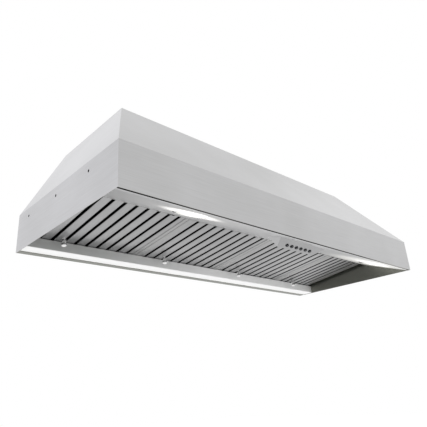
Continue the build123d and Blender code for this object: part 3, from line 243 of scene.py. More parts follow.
def turned(profile: np.ndarray, steps: int = TURN_STEPS) -> tuple:
    """A profile of (radius, height) points turned about the local z axis.

    The surface is S(i, a) = (r_i cos a, r_i sin a, h_i). A profile that starts and ends on the
    axis is closed there by one shared point at each end, any other is joined to itself.

    Args:
        profile: the profile's points, running so that its left side is the outside.
        steps: how many points each ring has.

    Returns:
        Vertices and faces.
    """
    solid = profile[0, 0] == 0.0 and profile[-1, 0] == 0.0
    rings = profile[1:-1] if solid else profile
    angle = np.linspace(0.0, 2 * pi, steps, endpoint=False)
    radius = rings[:, 0][:, None]
    ring = np.stack([radius * np.cos(angle), radius * np.sin(angle)], axis=-1)
    height = np.broadcast_to(rings[:, 1][:, None, None], (len(rings), steps, 1))
    points = np.concatenate([ring, height], axis=-1).reshape(-1, 3)
    grid = np.arange(len(rings) * steps).reshape(len(rings), steps)
    if not solid:
        grid = np.vstack([grid, grid[:1]])
    here, there = grid[:-1], grid[1:]
    quads = np.stack([here, there, np.roll(there, -1, 1), np.roll(here, -1, 1)], axis=-1)
    faces = quads.reshape(-1, 4).tolist()
    if solid:
        base = len(points)
        points = np.vstack([points, [0, 0, profile[0, 1]], [0, 0, profile[-1, 1]]])
        first, last = grid[0], grid[-1]
        faces += np.column_stack([np.full(steps, base), first, np.roll(first, -1)]).tolist()
        faces += np.column_stack([np.full(steps, base + 1), np.roll(last, -1), last]).tolist()
    return points, faces


def joined(parts: list[tuple]) -> tuple:
    """Several meshes as one: vertices stacked, face numbers shifted by what comes before."""
    shift = 0
    points, faces = [], []
    for vertices, polygons in parts:
        points.append(vertices)
        faces += [[corner + shift for corner in polygon] for polygon in polygons]
        shift += len(vertices)
    return np.vstack(points), faces


def set_in(slope: Slope, mesh: tuple, x: float, along: float) -> tuple:
    """A mesh made about the origin, moved to a place on a slope."""
    points, faces = mesh
    return slope.place(points + np.array([x, along, 0.0])), faces


def mesh_piece(
    name: str,
    mesh: tuple,
    materials: list[bpy.types.Material],
    choice: list[int] | None = None,
    smooth: float = 35.0,
) -> bpy.types.Object:
    """A new object from vertices and faces, shaded smooth across angles under a limit.

    Args:
        name: the piece's name.
        mesh: vertices and faces.
        materials: its finishes.
        choice: which finish each face has, or None where there is only one.
        smooth: the limit, in degrees.

    Returns:
        The object, at the origin.
    """
    data = bpy.data.meshes.new(name)
    data.from_pydata(mesh[0].tolist(), [], mesh[1])
    for material in materials:
        data.materials.append(material)
    if choice is not None:
        data.polygons.foreach_set("material_index", choice)
    data.shade_smooth()
    data.set_sharp_from_angle(angle=radians(smooth))
    piece = bpy.data.objects.new(name, data)
    bpy.context.scene.collection.objects.link(piece)
    return piece


# ---- finishes -------------------------------------------------------------------------------
class Grain(Enum):
    """The way a brushed surface's lines run, as how much each axis is stretched."""

    ACROSS = (0.02, 1.0, 1.0)
    BACKWARD = (1.0, 0.02, 1.0)
    UPWARD = (1.0, 1.0, 0.02)
    NONE = (1.0, 1.0, 1.0)


class Slot(Enum):
    """The record's material slot names for the new pieces; nothing in the script reads them."""

    FILTER = "filter_steel"
    KNOB = "turned_steel"
    BEZEL = "turned_steel"
    LENS = "lamp_glass"
    BUTTON = "button_chrome"


@dataclass(frozen=True)
class Glow:
    """Light that a lit lamp throws on the sheet round it, painted on as emission, as an ellipse in
    the plan.
    """

    x: float
    y: float
    reach_x: float
    reach_y: float
    strength: float


def linear(code: str) -> tuple[float, float, float, float]:
    """An sRGB hex colour as linear red, green, blue and alpha."""
    values = [int(code[i : i + 2], 16) / 255 for i in (1, 3, 5)]
    curve = [v / 12.92 if v <= 0.04045 else ((v + 0.055) / 1.055) ** 2.4 for v in values]
    return (*curve, 1.0)


def add(tree: Tree, kind: str, values: dict[Any, Any] | None = None, **settings: Any):
    """Adds a node, sets its properties, then sets or links its inputs.

    Args:
        tree: the material's or world's node tree.
        kind: the node's type name.
        values: input name or number to a value, or to the output socket that feeds it.
        settings: the node's own properties.

    Returns:
        The node.
    """
    node = tree.nodes.new(kind)
    for key, value in settings.items():
        setattr(node, key, value)
    for key, value in (values or {}).items():
        if isinstance(value, Socket):
            tree.links.new(value, node.inputs[key])
        else:
            node.inputs[key].default_value = value
    return node


def maths(tree: Tree, operation: str, *values: Any) -> Socket:
    """A Math node on one or two values; returns its output."""
    return add(tree, "ShaderNodeMath", dict(enumerate(values)), operation=operation).outputs[0]


def mapped(tree: Tree, source: Socket, span: Span, target: Span, **settings: Any) -> Socket:
    """Numbers of one span carried to another, and held at its ends; returns the output."""
    values = {"Value": source, "From Min": span[0], "From Max": span[1]}
    values |= {"To Min": target[0], "To Max": target[1]}
    return add(tree, "ShaderNodeMapRange", values, **settings).outputs["Result"]


def noise(tree: Tree, place: Socket, scale: float, detail: float, roughness: float = 0.5) -> Socket:
    """Noise of about scale cells to the metre; returns its 0 to 1 output."""
    values = {"Vector": place, "Scale": scale, "Detail": detail, "Roughness": roughness}
    return add(tree, "ShaderNodeTexNoise", values).outputs["Fac"]


def axes_of(tree: Tree, source: Socket) -> Any:
    """A vector's X, Y and Z outputs, by name."""
    return add(tree, "ShaderNodeSeparateXYZ", {0: source}).outputs


def object_place(tree: Tree) -> Socket:
    """The surface's place in the piece's own axes, in metres."""
    return add(tree, "ShaderNodeTexCoord").outputs["Object"]


def ramp(
    tree: Tree, source: Socket, low: str, high: str, start: float = 0.3, end: float = 0.7
) -> Socket:
    """A colour ramp between two sRGB colours; returns its colour output."""
    node = add(tree, "ShaderNodeValToRGB", {"Fac": source})
    first, last = node.color_ramp.elements
    first.position, first.color = start, linear(low)
    last.position, last.color = end, linear(high)
    return node.outputs["Color"]


def mixed(tree: Tree, share: Socket, first: Any, second: Any) -> Socket:
    """Two colours mixed by a share of 0 to 1; returns the colour output."""
    node = add(tree, "ShaderNodeMix", {0: share, 6: first, 7: second}, data_type="RGBA")
    return node.outputs[2]


def fresh(name: str) -> tuple[bpy.types.Material, Tree]:
    """A material with an empty node tree."""
    material = bpy.data.materials.new(name)
    material.use_nodes = True
    material.node_tree.nodes.clear()
    return material, material.node_tree


def shaded(tree: Tree, values: dict[Any, Any]) -> None:
    """Ends the tree in a Principled surface with the given inputs."""
    surface = add(tree, "ShaderNodeBsdfPrincipled", values)
    add(tree, "ShaderNodeOutputMaterial", {"Surface": surface.outputs["BSDF"]})


@dataclass(frozen=True)
class BrushedStainless:
    """Brushed stainless sheet: a belt leaves long fine scratches that blur what it mirrors."""

    name: str
    dark: str
    light: str
    roughness: float
    grain: Grain
    line_width: float = 0.0022
    depth: float = 0.00002
    glows: tuple[Glow, ...] = ()
    blur: Span = (-0.05, 0.07)
    handling_scale: float = 5.0
    core: float = 0.2

    def tint(self, tree: Tree, place: Socket, sheet: Socket) -> Socket:
        """The sheet's own colour; the finishes made from this one change it in places."""
        return sheet

    def halo(self, tree: Tree, place: Socket) -> Socket:
        """The sum of the glows: each falls off smoothly with the distance from its middle.

        The distance is the length of ((x - x0) / reach_x, (y - y0) / reach_y). A glow is at full
        strength up to the distance core, and has ended at 1.

        Args:
            tree: the material's node tree.
            place: the Object coordinates.

        Returns:
            The strength's output.
        """
        total = None
        for glow in self.glows:
            values = {
                "Vector": place,
                "Location": (-glow.x / glow.reach_x, -glow.y / glow.reach_y, 0.0),
                "Scale": (1 / glow.reach_x, 1 / glow.reach_y, 0.0),
            }
            spot = add(tree, "ShaderNodeMapping", values).outputs["Vector"]
            away = add(tree, "ShaderNodeVectorMath", {0: spot}, operation="LENGTH").outputs["Value"]
            span, target = (self.core, 1.0), (glow.strength, 0.0)
            here = mapped(tree, away, span, target, interpolation_type="SMOOTHERSTEP")
            total = here if total is None else maths(tree, "ADD", total, here)
        return total

    def make(self) -> bpy.types.Material:
        """Builds the material: stretched noise for the lines, broad noise for handling marks."""
        material, tree = fresh(self.name)
        place = object_place(tree)
        lines = add(tree, "ShaderNodeMapping", {"Vector": place, "Scale": self.grain.value})
        # Real belt lines are much finer than line_width, which is as wide as it is so that they
        # show at the photograph's size.
        fine = noise(tree, lines.outputs["Vector"], 1 / self.line_width, 4.0, 0.6)
        broad = noise(tree, place, self.handling_scale, 3.0)
        half = maths(tree, "MULTIPLY", maths(tree, "ADD", fine, broad), 0.5)
        low, high = (self.roughness + change for change in self.blur)
        values = {"Height": fine, "Distance": self.depth, "Strength": 0.6}
        bump = add(tree, "ShaderNodeBump", values)
        surface = {
            "Base Color": self.tint(tree, place, ramp(tree, half, self.dark, self.light)),
            "Metallic": 1.0,
            "Roughness": mapped(tree, fine, (0.0, 1.0), (low, high)),
            "Normal": bump.outputs["Normal"],
        }
        # painted light: the lamps' glow on the sheet, given off as emission
        if self.glows:
            surface["Emission Color"] = linear(LAMP_LIGHT)
            surface["Emission Strength"] = self.halo(tree, place)
        shaded(tree, surface)
        return material


@dataclass(frozen=True)
class SkirtStainless(BrushedStainless):
    """The outer shell's sheet, with painted shade on the inner faces of its skirt."""

    shade: str = "#787972"

    def tint(self, tree: Tree, place: Socket, sheet: Socket) -> Socket:
        """Painted shade where |x| and |y| are under the inner faces' and z is under the skirt's
        top.
        """
        axes, share = axes_of(tree, place), 1.0
        limits = {"X": INNER_FACE_X, "Y": INNER_FACE_Y, "Z": SKIRT_TOP}
        for axis, limit in limits.items():
            under = maths(tree, "LESS_THAN", maths(tree, "ABSOLUTE", axes[axis]), limit)
            share = maths(tree, "MULTIPLY", under, share)
        return mixed(tree, share, sheet, linear(self.shade))


@dataclass(frozen=True)
class PanelStainless(BrushedStainless):
    """The light panel's sheet, with painted shade on the folded edge inside the front groove."""

    shade: str = "#2b2b2a"
    margin: float = 0.0006

    def tint(self, tree: Tree, place: Socket, sheet: Socket) -> Socket:
        """Painted shade in front of the panel's fold, up to the margin behind it."""
        front = maths(tree, "LESS_THAN", axes_of(tree, place)["Y"], PANEL_FRONT_Y + self.margin)
        return mixed(tree, front, sheet, linear(self.shade))


@dataclass(frozen=True)
class CoverStainless(BrushedStainless):
    """The control box's sheet, with painted light on its end faces."""

    end: str = "#aeaeaf"
    sideways: float = 0.3

    def tint(self, tree: Tree, place: Socket, sheet: Socket) -> Socket:
        """The ends' lighter colour, painted light, where the normal's x is over the limit to either
        side.
        """
        normal = add(tree, "ShaderNodeTexCoord").outputs["Normal"]
        side = maths(tree, "ABSOLUTE", axes_of(tree, normal)["X"])
        end = maths(tree, "GREATER_THAN", side, self.sideways)
        return mixed(tree, end, sheet, linear(self.end))


@dataclass(frozen=True)
class TroughStainless(BrushedStainless):
    """The trough's sheet: a painted highlight on its floor, painted shade and light on its front
    wall, darker towards the left.
    """

    shade: str = "#c9cac9"
    painted_light: str = "#fbfbfb"
    floor: str = "#fafafa"
    shaded_span: Span = (-0.45, 0.0)
    wall_foot: Span = (0.0018, 0.0032)

    def tint(self, tree: Tree, place: Socket, sheet: Socket) -> Socket:
        """Painted shade to painted light along x on the wall, and the floor's painted highlight
        below the wall's foot.
        """
        axes = axes_of(tree, place)
        across = mapped(tree, axes["X"], self.shaded_span, (0.0, 1.0))
        wall = ramp(tree, across, self.shade, self.painted_light, 0.0, 1.0)
        height = mapped(tree, axes["Z"], self.wall_foot, (0.0, 1.0))
        return mixed(tree, height, linear(self.floor), wall)


@dataclass(frozen=True)
class BaffleStainless(BrushedStainless):
    """A lower baffle's strip: bright on its flat, with painted shade up its sides, away from the
    light.
    """

    shade: str = "#121211"
    fold: Span = (0.0011, 0.0022)

    def tint(self, tree: Tree, place: Socket, sheet: Socket) -> Socket:
        """Painted shade by the height above the slope, which is (place - origin) . out."""
        slope = filter_slope()
        local = add(tree, "ShaderNodeVectorMath", {0: place, 1: slope.origin}, operation="SUBTRACT")
        values = {0: local.outputs["Vector"], 1: slope.out}
        height = add(tree, "ShaderNodeVectorMath", values, operation="DOT_PRODUCT").outputs["Value"]
        side = mapped(tree, height, self.fold, (0.0, 1.0))
        return mixed(tree, side, sheet, linear(self.shade))


@dataclass(frozen=True)
class Spangled:
    """Hot-dip galvanised sheet: zinc crystals of about 12 mm, each a slightly different grey."""

    name: str
    dark: str = "#8f9396"
    light: str = "#b4b8bb"
    crystal: float = 0.012
    blur: Span = (0.35, 0.6)

    def make(self) -> bpy.types.Material:
        """Builds the material from cells for the crystals and noise for the white bloom."""
        material, tree = fresh(self.name)
        place = object_place(tree)
        cells = add(tree, "ShaderNodeTexVoronoi", {"Vector": place, "Scale": 1 / self.crystal})
        grey = add(tree, "ShaderNodeSeparateColor", {"Color": cells.outputs["Color"]})
        bloom = noise(tree, place, 30.0, 5.0)
        surface = {
            "Base Color": ramp(tree, grey.outputs["Red"], self.dark, self.light, 0.0, 1.0),
            "Metallic": 0.9,
            "Roughness": mapped(tree, bloom, (0.0, 1.0), self.blur),
        }
        shaded(tree, surface)
        return material


@dataclass(frozen=True)
class Turned:
    """Turned or ground bright metal: a tight mirror, its tool marks drawn as a fine mottle."""

    name: str
    dark: str = "#b9b9b9"
    light: str = "#d6d6d6"
    roughness: float = 0.18
    blur: Span = (-0.06, 0.08)

    def make(self) -> bpy.types.Material:
        """Builds the material with fine noise in colour and roughness."""
        material, tree = fresh(self.name)
        rings = noise(tree, object_place(tree), 900.0, 2.0)
        low, high = (self.roughness + change for change in self.blur)
        surface = {
            "Base Color": ramp(tree, rings, self.dark, self.light),
            "Metallic": 1.0,
            "Roughness": mapped(tree, rings, (0.0, 1.0), (low, high)),
        }
        shaded(tree, surface)
        return material


@dataclass(frozen=True)
class Coated:
    """A moulded, painted or cast surface: one colour, mottled, with a fine grained skin."""

    name: str
    dark: str
    light: str
    roughness: float
    metallic: float = 0.0
    grit: float = 0.0012
    depth: float = 0.00005
    blur: Span = (-0.06, 0.06)

    def make(self) -> bpy.types.Material:
        """Builds the material with noise for colour and for the skin's bump."""
        material, tree = fresh(self.name)
        place = object_place(tree)
        mottle = noise(tree, place, 60.0, 4.0)
        skin = noise(tree, place, 1 / self.grit, 2.0)
        low, high = (self.roughness + change for change in self.blur)
        bump = add(tree, "ShaderNodeBump", {"Height": skin, "Distance": self.depth})
        surface = {
            "Base Color": ramp(tree, mottle, self.dark, self.light),
            "Metallic": self.metallic,
            "Roughness": mapped(tree, mottle, (0.0, 1.0), (low, high)),
            "Normal": bump.outputs["Normal"],
        }
        shaded(tree, surface)
        return material


@dataclass(frozen=True)
class LitDiffuser:
    """Frosted polycarbonate over a lit lamp: a soft white, much brighter near its middle."""

    name: str
    middle: tuple[float, float, float]
    glow: float = 1.6
    edge_share: float = 0.15
    reach: float = 0.034

    def make(self) -> bpy.types.Material:
        """Builds the material: milky plastic that gives off light, falling off from the middle."""
        material, tree = fresh(self.name)
        place = object_place(tree)
        values = {0: place, 1: self.middle}
        away = add(tree, "ShaderNodeVectorMath", values, operation="DISTANCE").outputs["Value"]
        target = (self.glow, self.glow * self.edge_share)
        surface = {
            "Base Color": ramp(tree, noise(tree, place, 700.0, 2.0), "#e9e9e4", "#f8f8f5"),
            "Roughness": 0.35,
            "Emission Color": linear(LAMP_LIGHT),
            "Emission Strength": mapped(tree, away, (0.0, self.reach), target),
        }
        shaded(tree, surface)
        return material


# ---- sub-assemblies -------------------------------------------------------------------------
def dress(nodes: tuple[str, ...], material: bpy.types.Material) -> None:
    """Gives the material to every slot of the named CAD nodes."""
    for name in nodes:
        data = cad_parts[name].data
        data.materials.clear()
        data.materials.append(material)


def take_place(piece: bpy.types.Object, node: str, body: str) -> None:
    """Lets a piece stand for a CAD node on its body, and hides the node."""
    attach(piece, body)
    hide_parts(node)
    log.info("%s stands for %s", piece.name, node)


@dataclass
class Canopy:
    """The outer shell, the light panel and the fixed sheet pieces below."""

    lamps: tuple[float, ...] = (-0.344, 0.472)
    streak: tuple[float, float, float] = (0.112, 0.05, 1.1)
    streak_shift: float = 0.006
    spill_reach: Span = (0.28, 0.13)
    spill: tuple[float, ...] = (0.08, 0.5)
    shell: tuple[str, ...] = ("front_panel", "top_panel", "duct_collar")

    def glows(self) -> tuple[Glow, ...]:
        """The painted light each lamp throws on the panel: a short bright streak, and a wide weak
        one.
        """
        tilt = atan2(RAIL_Z, RAIL_Y - PANEL_FRONT_Y)
        y = PANEL_FRONT_Y + LAMP_SETBACK * cos(tilt)
        near = [Glow(x, y - self.streak_shift, *self.streak) for x in self.lamps]
        wide = [Glow(x, y, *self.spill_reach, power) for x, power in zip(self.lamps, self.spill)]
        return tuple(near + wide)

    def build(self) -> None:
        """Dresses the sheet pieces, their brush lines along their length."""
        across, backward = Grain.ACROSS, Grain.BACKWARD
        # painted light and shade: these pieces are one stainless steel, their tones set lighter or
        # darker piece by piece
        shell = SkirtStainless("brushed_stainless_shell", "#b4b4b4", "#c4c4c5", 0.34, across)
        dress(self.shell, shell.make())
        back = SkirtStainless("brushed_stainless_back", "#9c9c9c", "#ababab", 0.34, across)
        dress(("back_panel",), back.make())
        sides = SkirtStainless("brushed_stainless_side", "#bcbcbe", "#cfcfd2", 0.34, backward)
        dress(("left_side_panel", "right_side_panel"), sides.make())
        rail = BrushedStainless("brushed_stainless_rail", "#a8a8a9", "#b8b8b9", 0.34, across)
        dress(("filter_rail",), rail.make())
        name, glows = "brushed_stainless_panel", self.glows()
        panel = PanelStainless(name, "#bcbcbd", "#cbcbcc", 0.34, across, glows=glows)
        dress(("light_panel",), panel.make())
        cover = CoverStainless("brushed_stainless_cover", "#979798", "#a5a5a6", 0.3, across)
        dress(("control_housing",), cover.make())
        filler = BrushedStainless("brushed_stainless_filler", "#8c8c8a", "#9c9c9a", 0.36, backward)
        dress(("side_filler",), filler.make())
        trough = TroughStainless("brushed_stainless_trough", "#d0d0d0", "#e0e0e0", 0.7, across)
        dress(("grease_trough",), trough.make())
        log.info("canopy dressed")


@dataclass
class Lamps:
    """The two recessed lamps: a stepped bezel and a ribbed diffuser each."""

    lens_radius: float = 33.0
    bore: float = 33.2
    neck: float = 35.0
    bezel_radius: float = 42.0
    bezel_depth: float = 2.5
    crown: float = 1.6
    rib: float = 0.1
    rib_pitch: float = 3.0
    ribs: int = 89
    lens_edge: float = 1.9
    core_shift: float = 0.014
    glow_shift: float = 0.02
    glow: tuple[float, float, float] = (0.075, 0.05, 0.7)

    def bezel(self) -> tuple:
        """A ring turned from an outline with a shallow cove between two rims."""
        deep, cove = -self.bezel_depth, -self.bezel_depth + 0.5
        outline = [
            (self.bore, 12.0),
            (self.neck, 12.0),
            (self.neck, 0.0),
            (self.bezel_radius, 0.0),
            (self.bezel_radius, deep / 2),
            (self.bezel_radius - 1.8, deep),
            (self.bezel_radius - 3.2, deep),
            (self.bezel_radius - 3.8, cove),
            (self.bore + 2.2, cove),
            (self.bore + 1.6, deep),
            (self.bore, deep),
        ]
        return turned(rounded(np.array(outline), 0.18) * MILLIMETRE)

    def lens(self) -> tuple:
        """A dome with fine ribs.

        Its depth is edge - rib + crown (1 - (r / R)^2) - rib cos(2 pi r / pitch).

        Returns:
            Vertices and faces.
        """
        radius = np.linspace(self.lens_radius, 0.0, self.ribs)
        dome = self.crown * (1 - (radius / self.lens_radius) ** 2)
        ripple = self.rib * np.cos(2 * pi * radius / self.rib_pitch)
        below = np.column_stack([radius, -self.lens_edge + self.rib - dome + ripple])
        return turned(np.vstack([[(0.0, 1.0), (self.lens_radius, 1.0)], below]) * MILLIMETRE)

    def build(self) -> None:
        """Builds both lamps, each with its own lit diffuser."""
        panel = panel_slope()
        for side in ("left", "right"):
            low, high = (corner[0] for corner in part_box(f"lamp_{side}_lens"))
            x = (low + high) / 2
            middle = tuple(panel.place(np.array([[x, LAMP_SETBACK, 0.0]]))[0].tolist())
            core = (middle[0], middle[1] - self.core_shift, middle[2])
            diffuser = LitDiffuser(f"lit_{side}_diffuser", core).make()
            mesh = set_in(panel, self.lens(), x, LAMP_SETBACK)
            piece = mesh_piece(f"{side}_lamp_diffuser", mesh, [diffuser])
            take_place(piece, f"lamp_{side}_lens", "canopy")
            # painted light: the lamp's glow on its own bezel, given off as emission
            glows = (Glow(middle[0], middle[1] - self.glow_shift, *self.glow),)
            name, grain = f"turned_{side}_bezel", Grain.NONE
            steel = BrushedStainless(name, "#cfcfcf", "#e2e2e2", 0.2, grain, 0.0008, glows=glows)
            mesh = set_in(panel, self.bezel(), x, LAMP_SETBACK)
            piece = mesh_piece(f"{side}_lamp_bezel", mesh, [steel.make()])
            take_place(piece, f"lamp_{side}_bezel", "canopy")


@dataclass
class Buttons:
    """The six push buttons of the control box, in the button face's frame."""

    count: int = 6
    proud: float = 2.6
    radius: float = 5.0
    dish: float = 0.45

    def cap(self) -> tuple:
        """A cap with a dished top, a rolled edge, a retaining flange and a stem."""
        radius, proud = self.radius, self.proud
        profile = [
            (0.0, proud - self.dish),
            (radius * 0.35, proud - self.dish * 0.85),
            (radius * 0.62, proud - self.dish * 0.25),
            (radius - 1.2, proud),
            (radius - 0.35, proud - 0.35),
            (radius, proud - 1.2),
            (radius, -1.5),
            (radius + 1.0, -1.5),
            (radius + 1.0, -2.8),
            (2.0, -2.8),
            (2.0, -10.8),
            (0.0, -10.8),
        ]
        return turned(softened(np.array(profile), 0.12) * MILLIMETRE, 40)

    def build(self) -> None:
        """Builds each button in its hole."""
        face = face_slope()
        smoked = Turned("smoked_chrome", "#27282a", "#38393c", 0.2).make()
        for number in range(1, self.count + 1):
            node = f"button_{number}"
            low, high = (corner[0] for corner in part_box(node))
            mesh = set_in(face, self.cap(), (low + high) / 2, BUTTON_CLIMB)
            piece = mesh_piece(f"{node}_push_cap", mesh, [smoked])
            take_place(piece, node, f"{node}_cap")


@dataclass
class Filters:
    """The four baffle filters, each a channel frame, two rows of baffles and a pull knob."""

    cells: tuple[int, ...] = (10, 10, 10, 7)
    pitches: tuple[float, ...] = (0.0315, 0.0315, 0.0315, 0.0286)
    notch_cells: tuple[float, ...] = (8.3, 8.9, 8.3, 5.3)
    notch_width: float = 0.010
    notch_depth: float = 0.005
    gap: float = 0.001
    slot: float = 0.008
    height: float = 0.024
    front: float = 0.0006
    overhang: float = 0.014
    skin: float = 0.001
    baffle_skin: float = 0.0008
    baffle_depth: float = 0.011
    upper_depth: float = 0.015
    flange: float = 0.012
    bend: float = 0.001
    tongue_front: float = -0.0064
    tongue_inset: float = 0.010
    tongue_sheet: float = 0.0012

    def end(self) -> float:
        """How far the frames reach along the slope."""
        return hypot(TROUGH_Y - RAIL_Y, RAIL_Z - TROUGH_Z) + self.overhang

    def channel(self, width: float, depth: float, floor: float, upward: bool) -> np.ndarray:
        """A baffle's outline across the slope: a channel with rounded folds, open up or down."""
        tip = floor + depth if upward else floor - depth
        half = width / 2
        if upward:
            line = np.array([(-half, tip), (-half, floor), (half, floor), (half, tip)])
        else:
            line = np.array([(half, tip), (half, floor), (-half, floor), (-half, tip)])
        return sheet_outline(line, self.baffle_skin, self.bend)

    def run(self, outline: np.ndarray, x: float, low: float, high: float) -> tuple:
        """Carries an outline of (x, z) along the slope from low to high, at a place across it."""
        points, faces = carried(outline, low, high)
        local = np.column_stack([points[:, 1] + x, points[:, 0], points[:, 2]])
        return filter_slope().place(local), [polygon[::-1] for polygon in faces]

    def notched(self, middle: float, notch: float, width: float, start: float) -> list[tuple]:
        """A lower baffle's front end beside the notch: an angle on each side that is left.

        Args:
            middle: the baffle's middle across the slope.
            notch: the notch's middle.
            width: the baffle's width.
            start: where the baffle starts along the slope.

        Returns:
            The meshes, from the start to the notch's end.
        """
        floor, tip, half = self.skin, self.skin + self.baffle_depth, width / 2
        stop = self.front + self.notch_depth
        left = notch - self.notch_width / 2 - middle
        right = notch + self.notch_width / 2 - middle
        lines = []
        if left > 2 * self.bend - half:
            lines.append([(-half, tip), (-half, floor), (min(left, half), floor)])
        if right < half - 2 * self.bend:
            lines.append([(max(right, -half), floor), (half, floor), (half, tip)])
        outlines = [sheet_outline(np.array(line), self.baffle_skin, self.bend) for line in lines]
        return [self.run(outline, middle, start, stop) for outline in outlines]

    def member(self, length: float, first_mitre: float) -> tuple:
        """A frame member: a channel open to the inside, its far end mitred at 45 degrees.

        Args:
            length: outside length.
            first_mitre: 1 to mitre the near end too, 0 to leave it square.

        Returns:
            Vertices and faces, x along the member, y inwards, z up.
        """
        reach = self.flange
        line = np.array([(reach, 0.0), (0.0, 0.0), (0.0, self.height), (reach, self.height)])
        outline = sheet_outline(line[::-1], self.skin, self.bend)
        return carried(outline, outline[:, 0] * first_mitre, length - outline[:, 0])

    def frame_mesh(self, low: float, high: float, notch: float) -> tuple:
        """Three mitred members, the plain front wall with its notch, and the front tongue."""
        slope, end, start = filter_slope(), self.end(), self.front + self.skin
        mirror = np.array([-1.0, 1.0, 1.0])
        parts = []
        for flip, length, turn, x, y in (
            (False, end - start, 1, high, start),
            (True, end - start, 1, low, start),
            (False, high - low, 2, high, end),
        ):
            points, faces = self.member(length, 1.0 if turn == 2 else 0.0)
            c, s = cos(turn * pi / 2), sin(turn * pi / 2)
            points = points @ np.array([[c, s, 0.0], [-s, c, 0.0], [0.0, 0.0, 1.0]])
            if flip:
                points, faces = points * mirror, [polygon[::-1] for polygon in faces]
            parts.append((slope.place(points + np.array([x, y, 0.0])), faces))
        plates = [
            (self.front, start, 0.0, self.height, low, notch - self.notch_width / 2),
            (self.front, start, 0.0, self.height, notch + self.notch_width / 2, high),
            (
                self.tongue_front,
                start,
                self.height - self.tongue_sheet,
                self.height,
                low + self.tongue_inset,
                high - self.tongue_inset,
            ),
        ]
        for near, far, under, top, left, right in plates:
            corners = [(near, under), (far, under), (far, top), (near, top)]
            outline = rounded(np.array(corners), self.skin * 0.25)
            points, faces = carried(outline, left, right)
            parts.append((slope.place(points), faces))
        return joined(parts)

    def rows(self, left: float, cells: int, pitch: float, notch: float) -> tuple[tuple, list[int]]:
        """The lower channels and, over the slots between them, the upper ones.

        Args:
            left: where the filter's first cell starts.
            cells: how many lower channels there are.
            pitch: the cells' width.
            notch: the middle of the front notch.

        Returns:
            The mesh, and 0 for a lower channel's faces and 1 for an upper one's.
        """
        width, start, end = pitch - self.slot, self.front + self.skin, self.end() - self.skin
        lower = self.channel(width, self.baffle_depth, self.skin, True)
        upper = self.channel(width, self.upper_depth, self.height - self.skin, False)
        below = []
        for cell in range(cells):
            middle = left + (cell + 0.5) * pitch
            first = start
            if abs(middle - notch) < pitch / 2 + self.notch_width / 2:
                below += self.notched(middle, notch, width, start)
                first = self.front + self.notch_depth
            below.append(self.run(lower, middle, first, end))
        above = [self.run(upper, left + cell * pitch, start, end) for cell in range(1, cells)]
        counts = [sum(len(faces) for _, faces in row) for row in (below, above)]
        return joined(below + above), [0] * counts[0] + [1] * counts[1]

    def knob(self) -> tuple:
        """A turned pull knob: grooved stem, neck and a chamfered head, with its stud and nut."""
        profile = [
            (0.0, 6.0),
            (2.1, 6.0),
            (2.5, 5.5),
            (2.5, 1.0),
            (5.0, 1.0),
            (5.0, -2.0),
            (4.6, -2.4),
            (4.6, -3.0),
            (5.0, -3.4),
            (5.0, -10.4),
            (4.6, -10.8),
            (4.6, -11.4),
            (5.0, -11.8),
            (5.0, -12.5),
            (3.4, -12.5),
            (3.4, -15.1),
            (6.1, -15.1),
            (6.8, -15.8),
            (6.8, -20.6),
            (6.1, -21.7),
            (4.8, -22.3),
            (0.0, -22.5),
        ]
        nut = np.array([(2.4, 5.0), (4.1, 5.0), (4.6, 4.6), (4.6, 2.2), (4.1, 1.8), (2.4, 1.8)])
        body = turned(softened(np.array(profile), 0.14) * MILLIMETRE, 48)
        return joined([body, turned(nut * MILLIMETRE, 6)])

    def build(self) -> None:
        """Builds every filter's frame, baffles and knob."""
        across, backward = Grain.ACROSS, Grain.BACKWARD
        frames = BrushedStainless("brushed_filter_frame", "#939393", "#a9a9a9", 0.36, across).make()
        strips = BaffleStainless("bright_annealed_baffle", "#8e8e8f", "#a8a8a9", 0.32, backward)
        # painted shade: the upper baffles, seen only through the slots, are coloured near-black
        upper = BrushedStainless("shaded_upper_baffle", "#141413", "#232322", 0.5, backward)
        baffles = [strips.make(), upper.make()]
        polished = Turned("polished_knob_steel", "#c9c9c9", "#e6e6e6", 0.12).make()
        for number, cells in enumerate(self.cells, start=1):
            pitch, body = self.pitches[number - 1], f"filter_{number}"
            low, high = (corner[0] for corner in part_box(f"{body}_frame"))
            left = low - self.gap / 2
            notch = left + self.notch_cells[number - 1] * pitch
            piece = mesh_piece(f"{body}_channel_frame", self.frame_mesh(low, high, notch), [frames])
            take_place(piece, f"{body}_frame", body)
            mesh, choice = self.rows(left, cells, pitch, notch)
            piece = mesh_piece(f"{body}_baffle_rows", mesh, baffles, choice)
            take_place(piece, f"{body}_baffles", body)
            near, far = (corner[0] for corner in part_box(f"{body}_knob"))
            along = self.end() - self.overhang - KNOB_SETBACK
            mesh = set_in(filter_slope(), self.knob(), (near + far) / 2, along)
            piece = mesh_piece(f"{body}_pull_knob", mesh, [polished])
            take_place(piece, f"{body}_knob", body)


# ---- stage ----------------------------------------------------------------------------------
def background_ray(tree: Tree) -> Socket:
    """1 for what the camera, metal or glass shows, 0 for light on the object."""
    path = add(tree, "ShaderNodeLightPath").outputs
    seen = maths(tree, "MAXIMUM", path["Is Camera Ray"], path["Is Glossy Ray"])
    return maths(tree, "MAXIMUM", seen, path["Is Transmission Ray"])


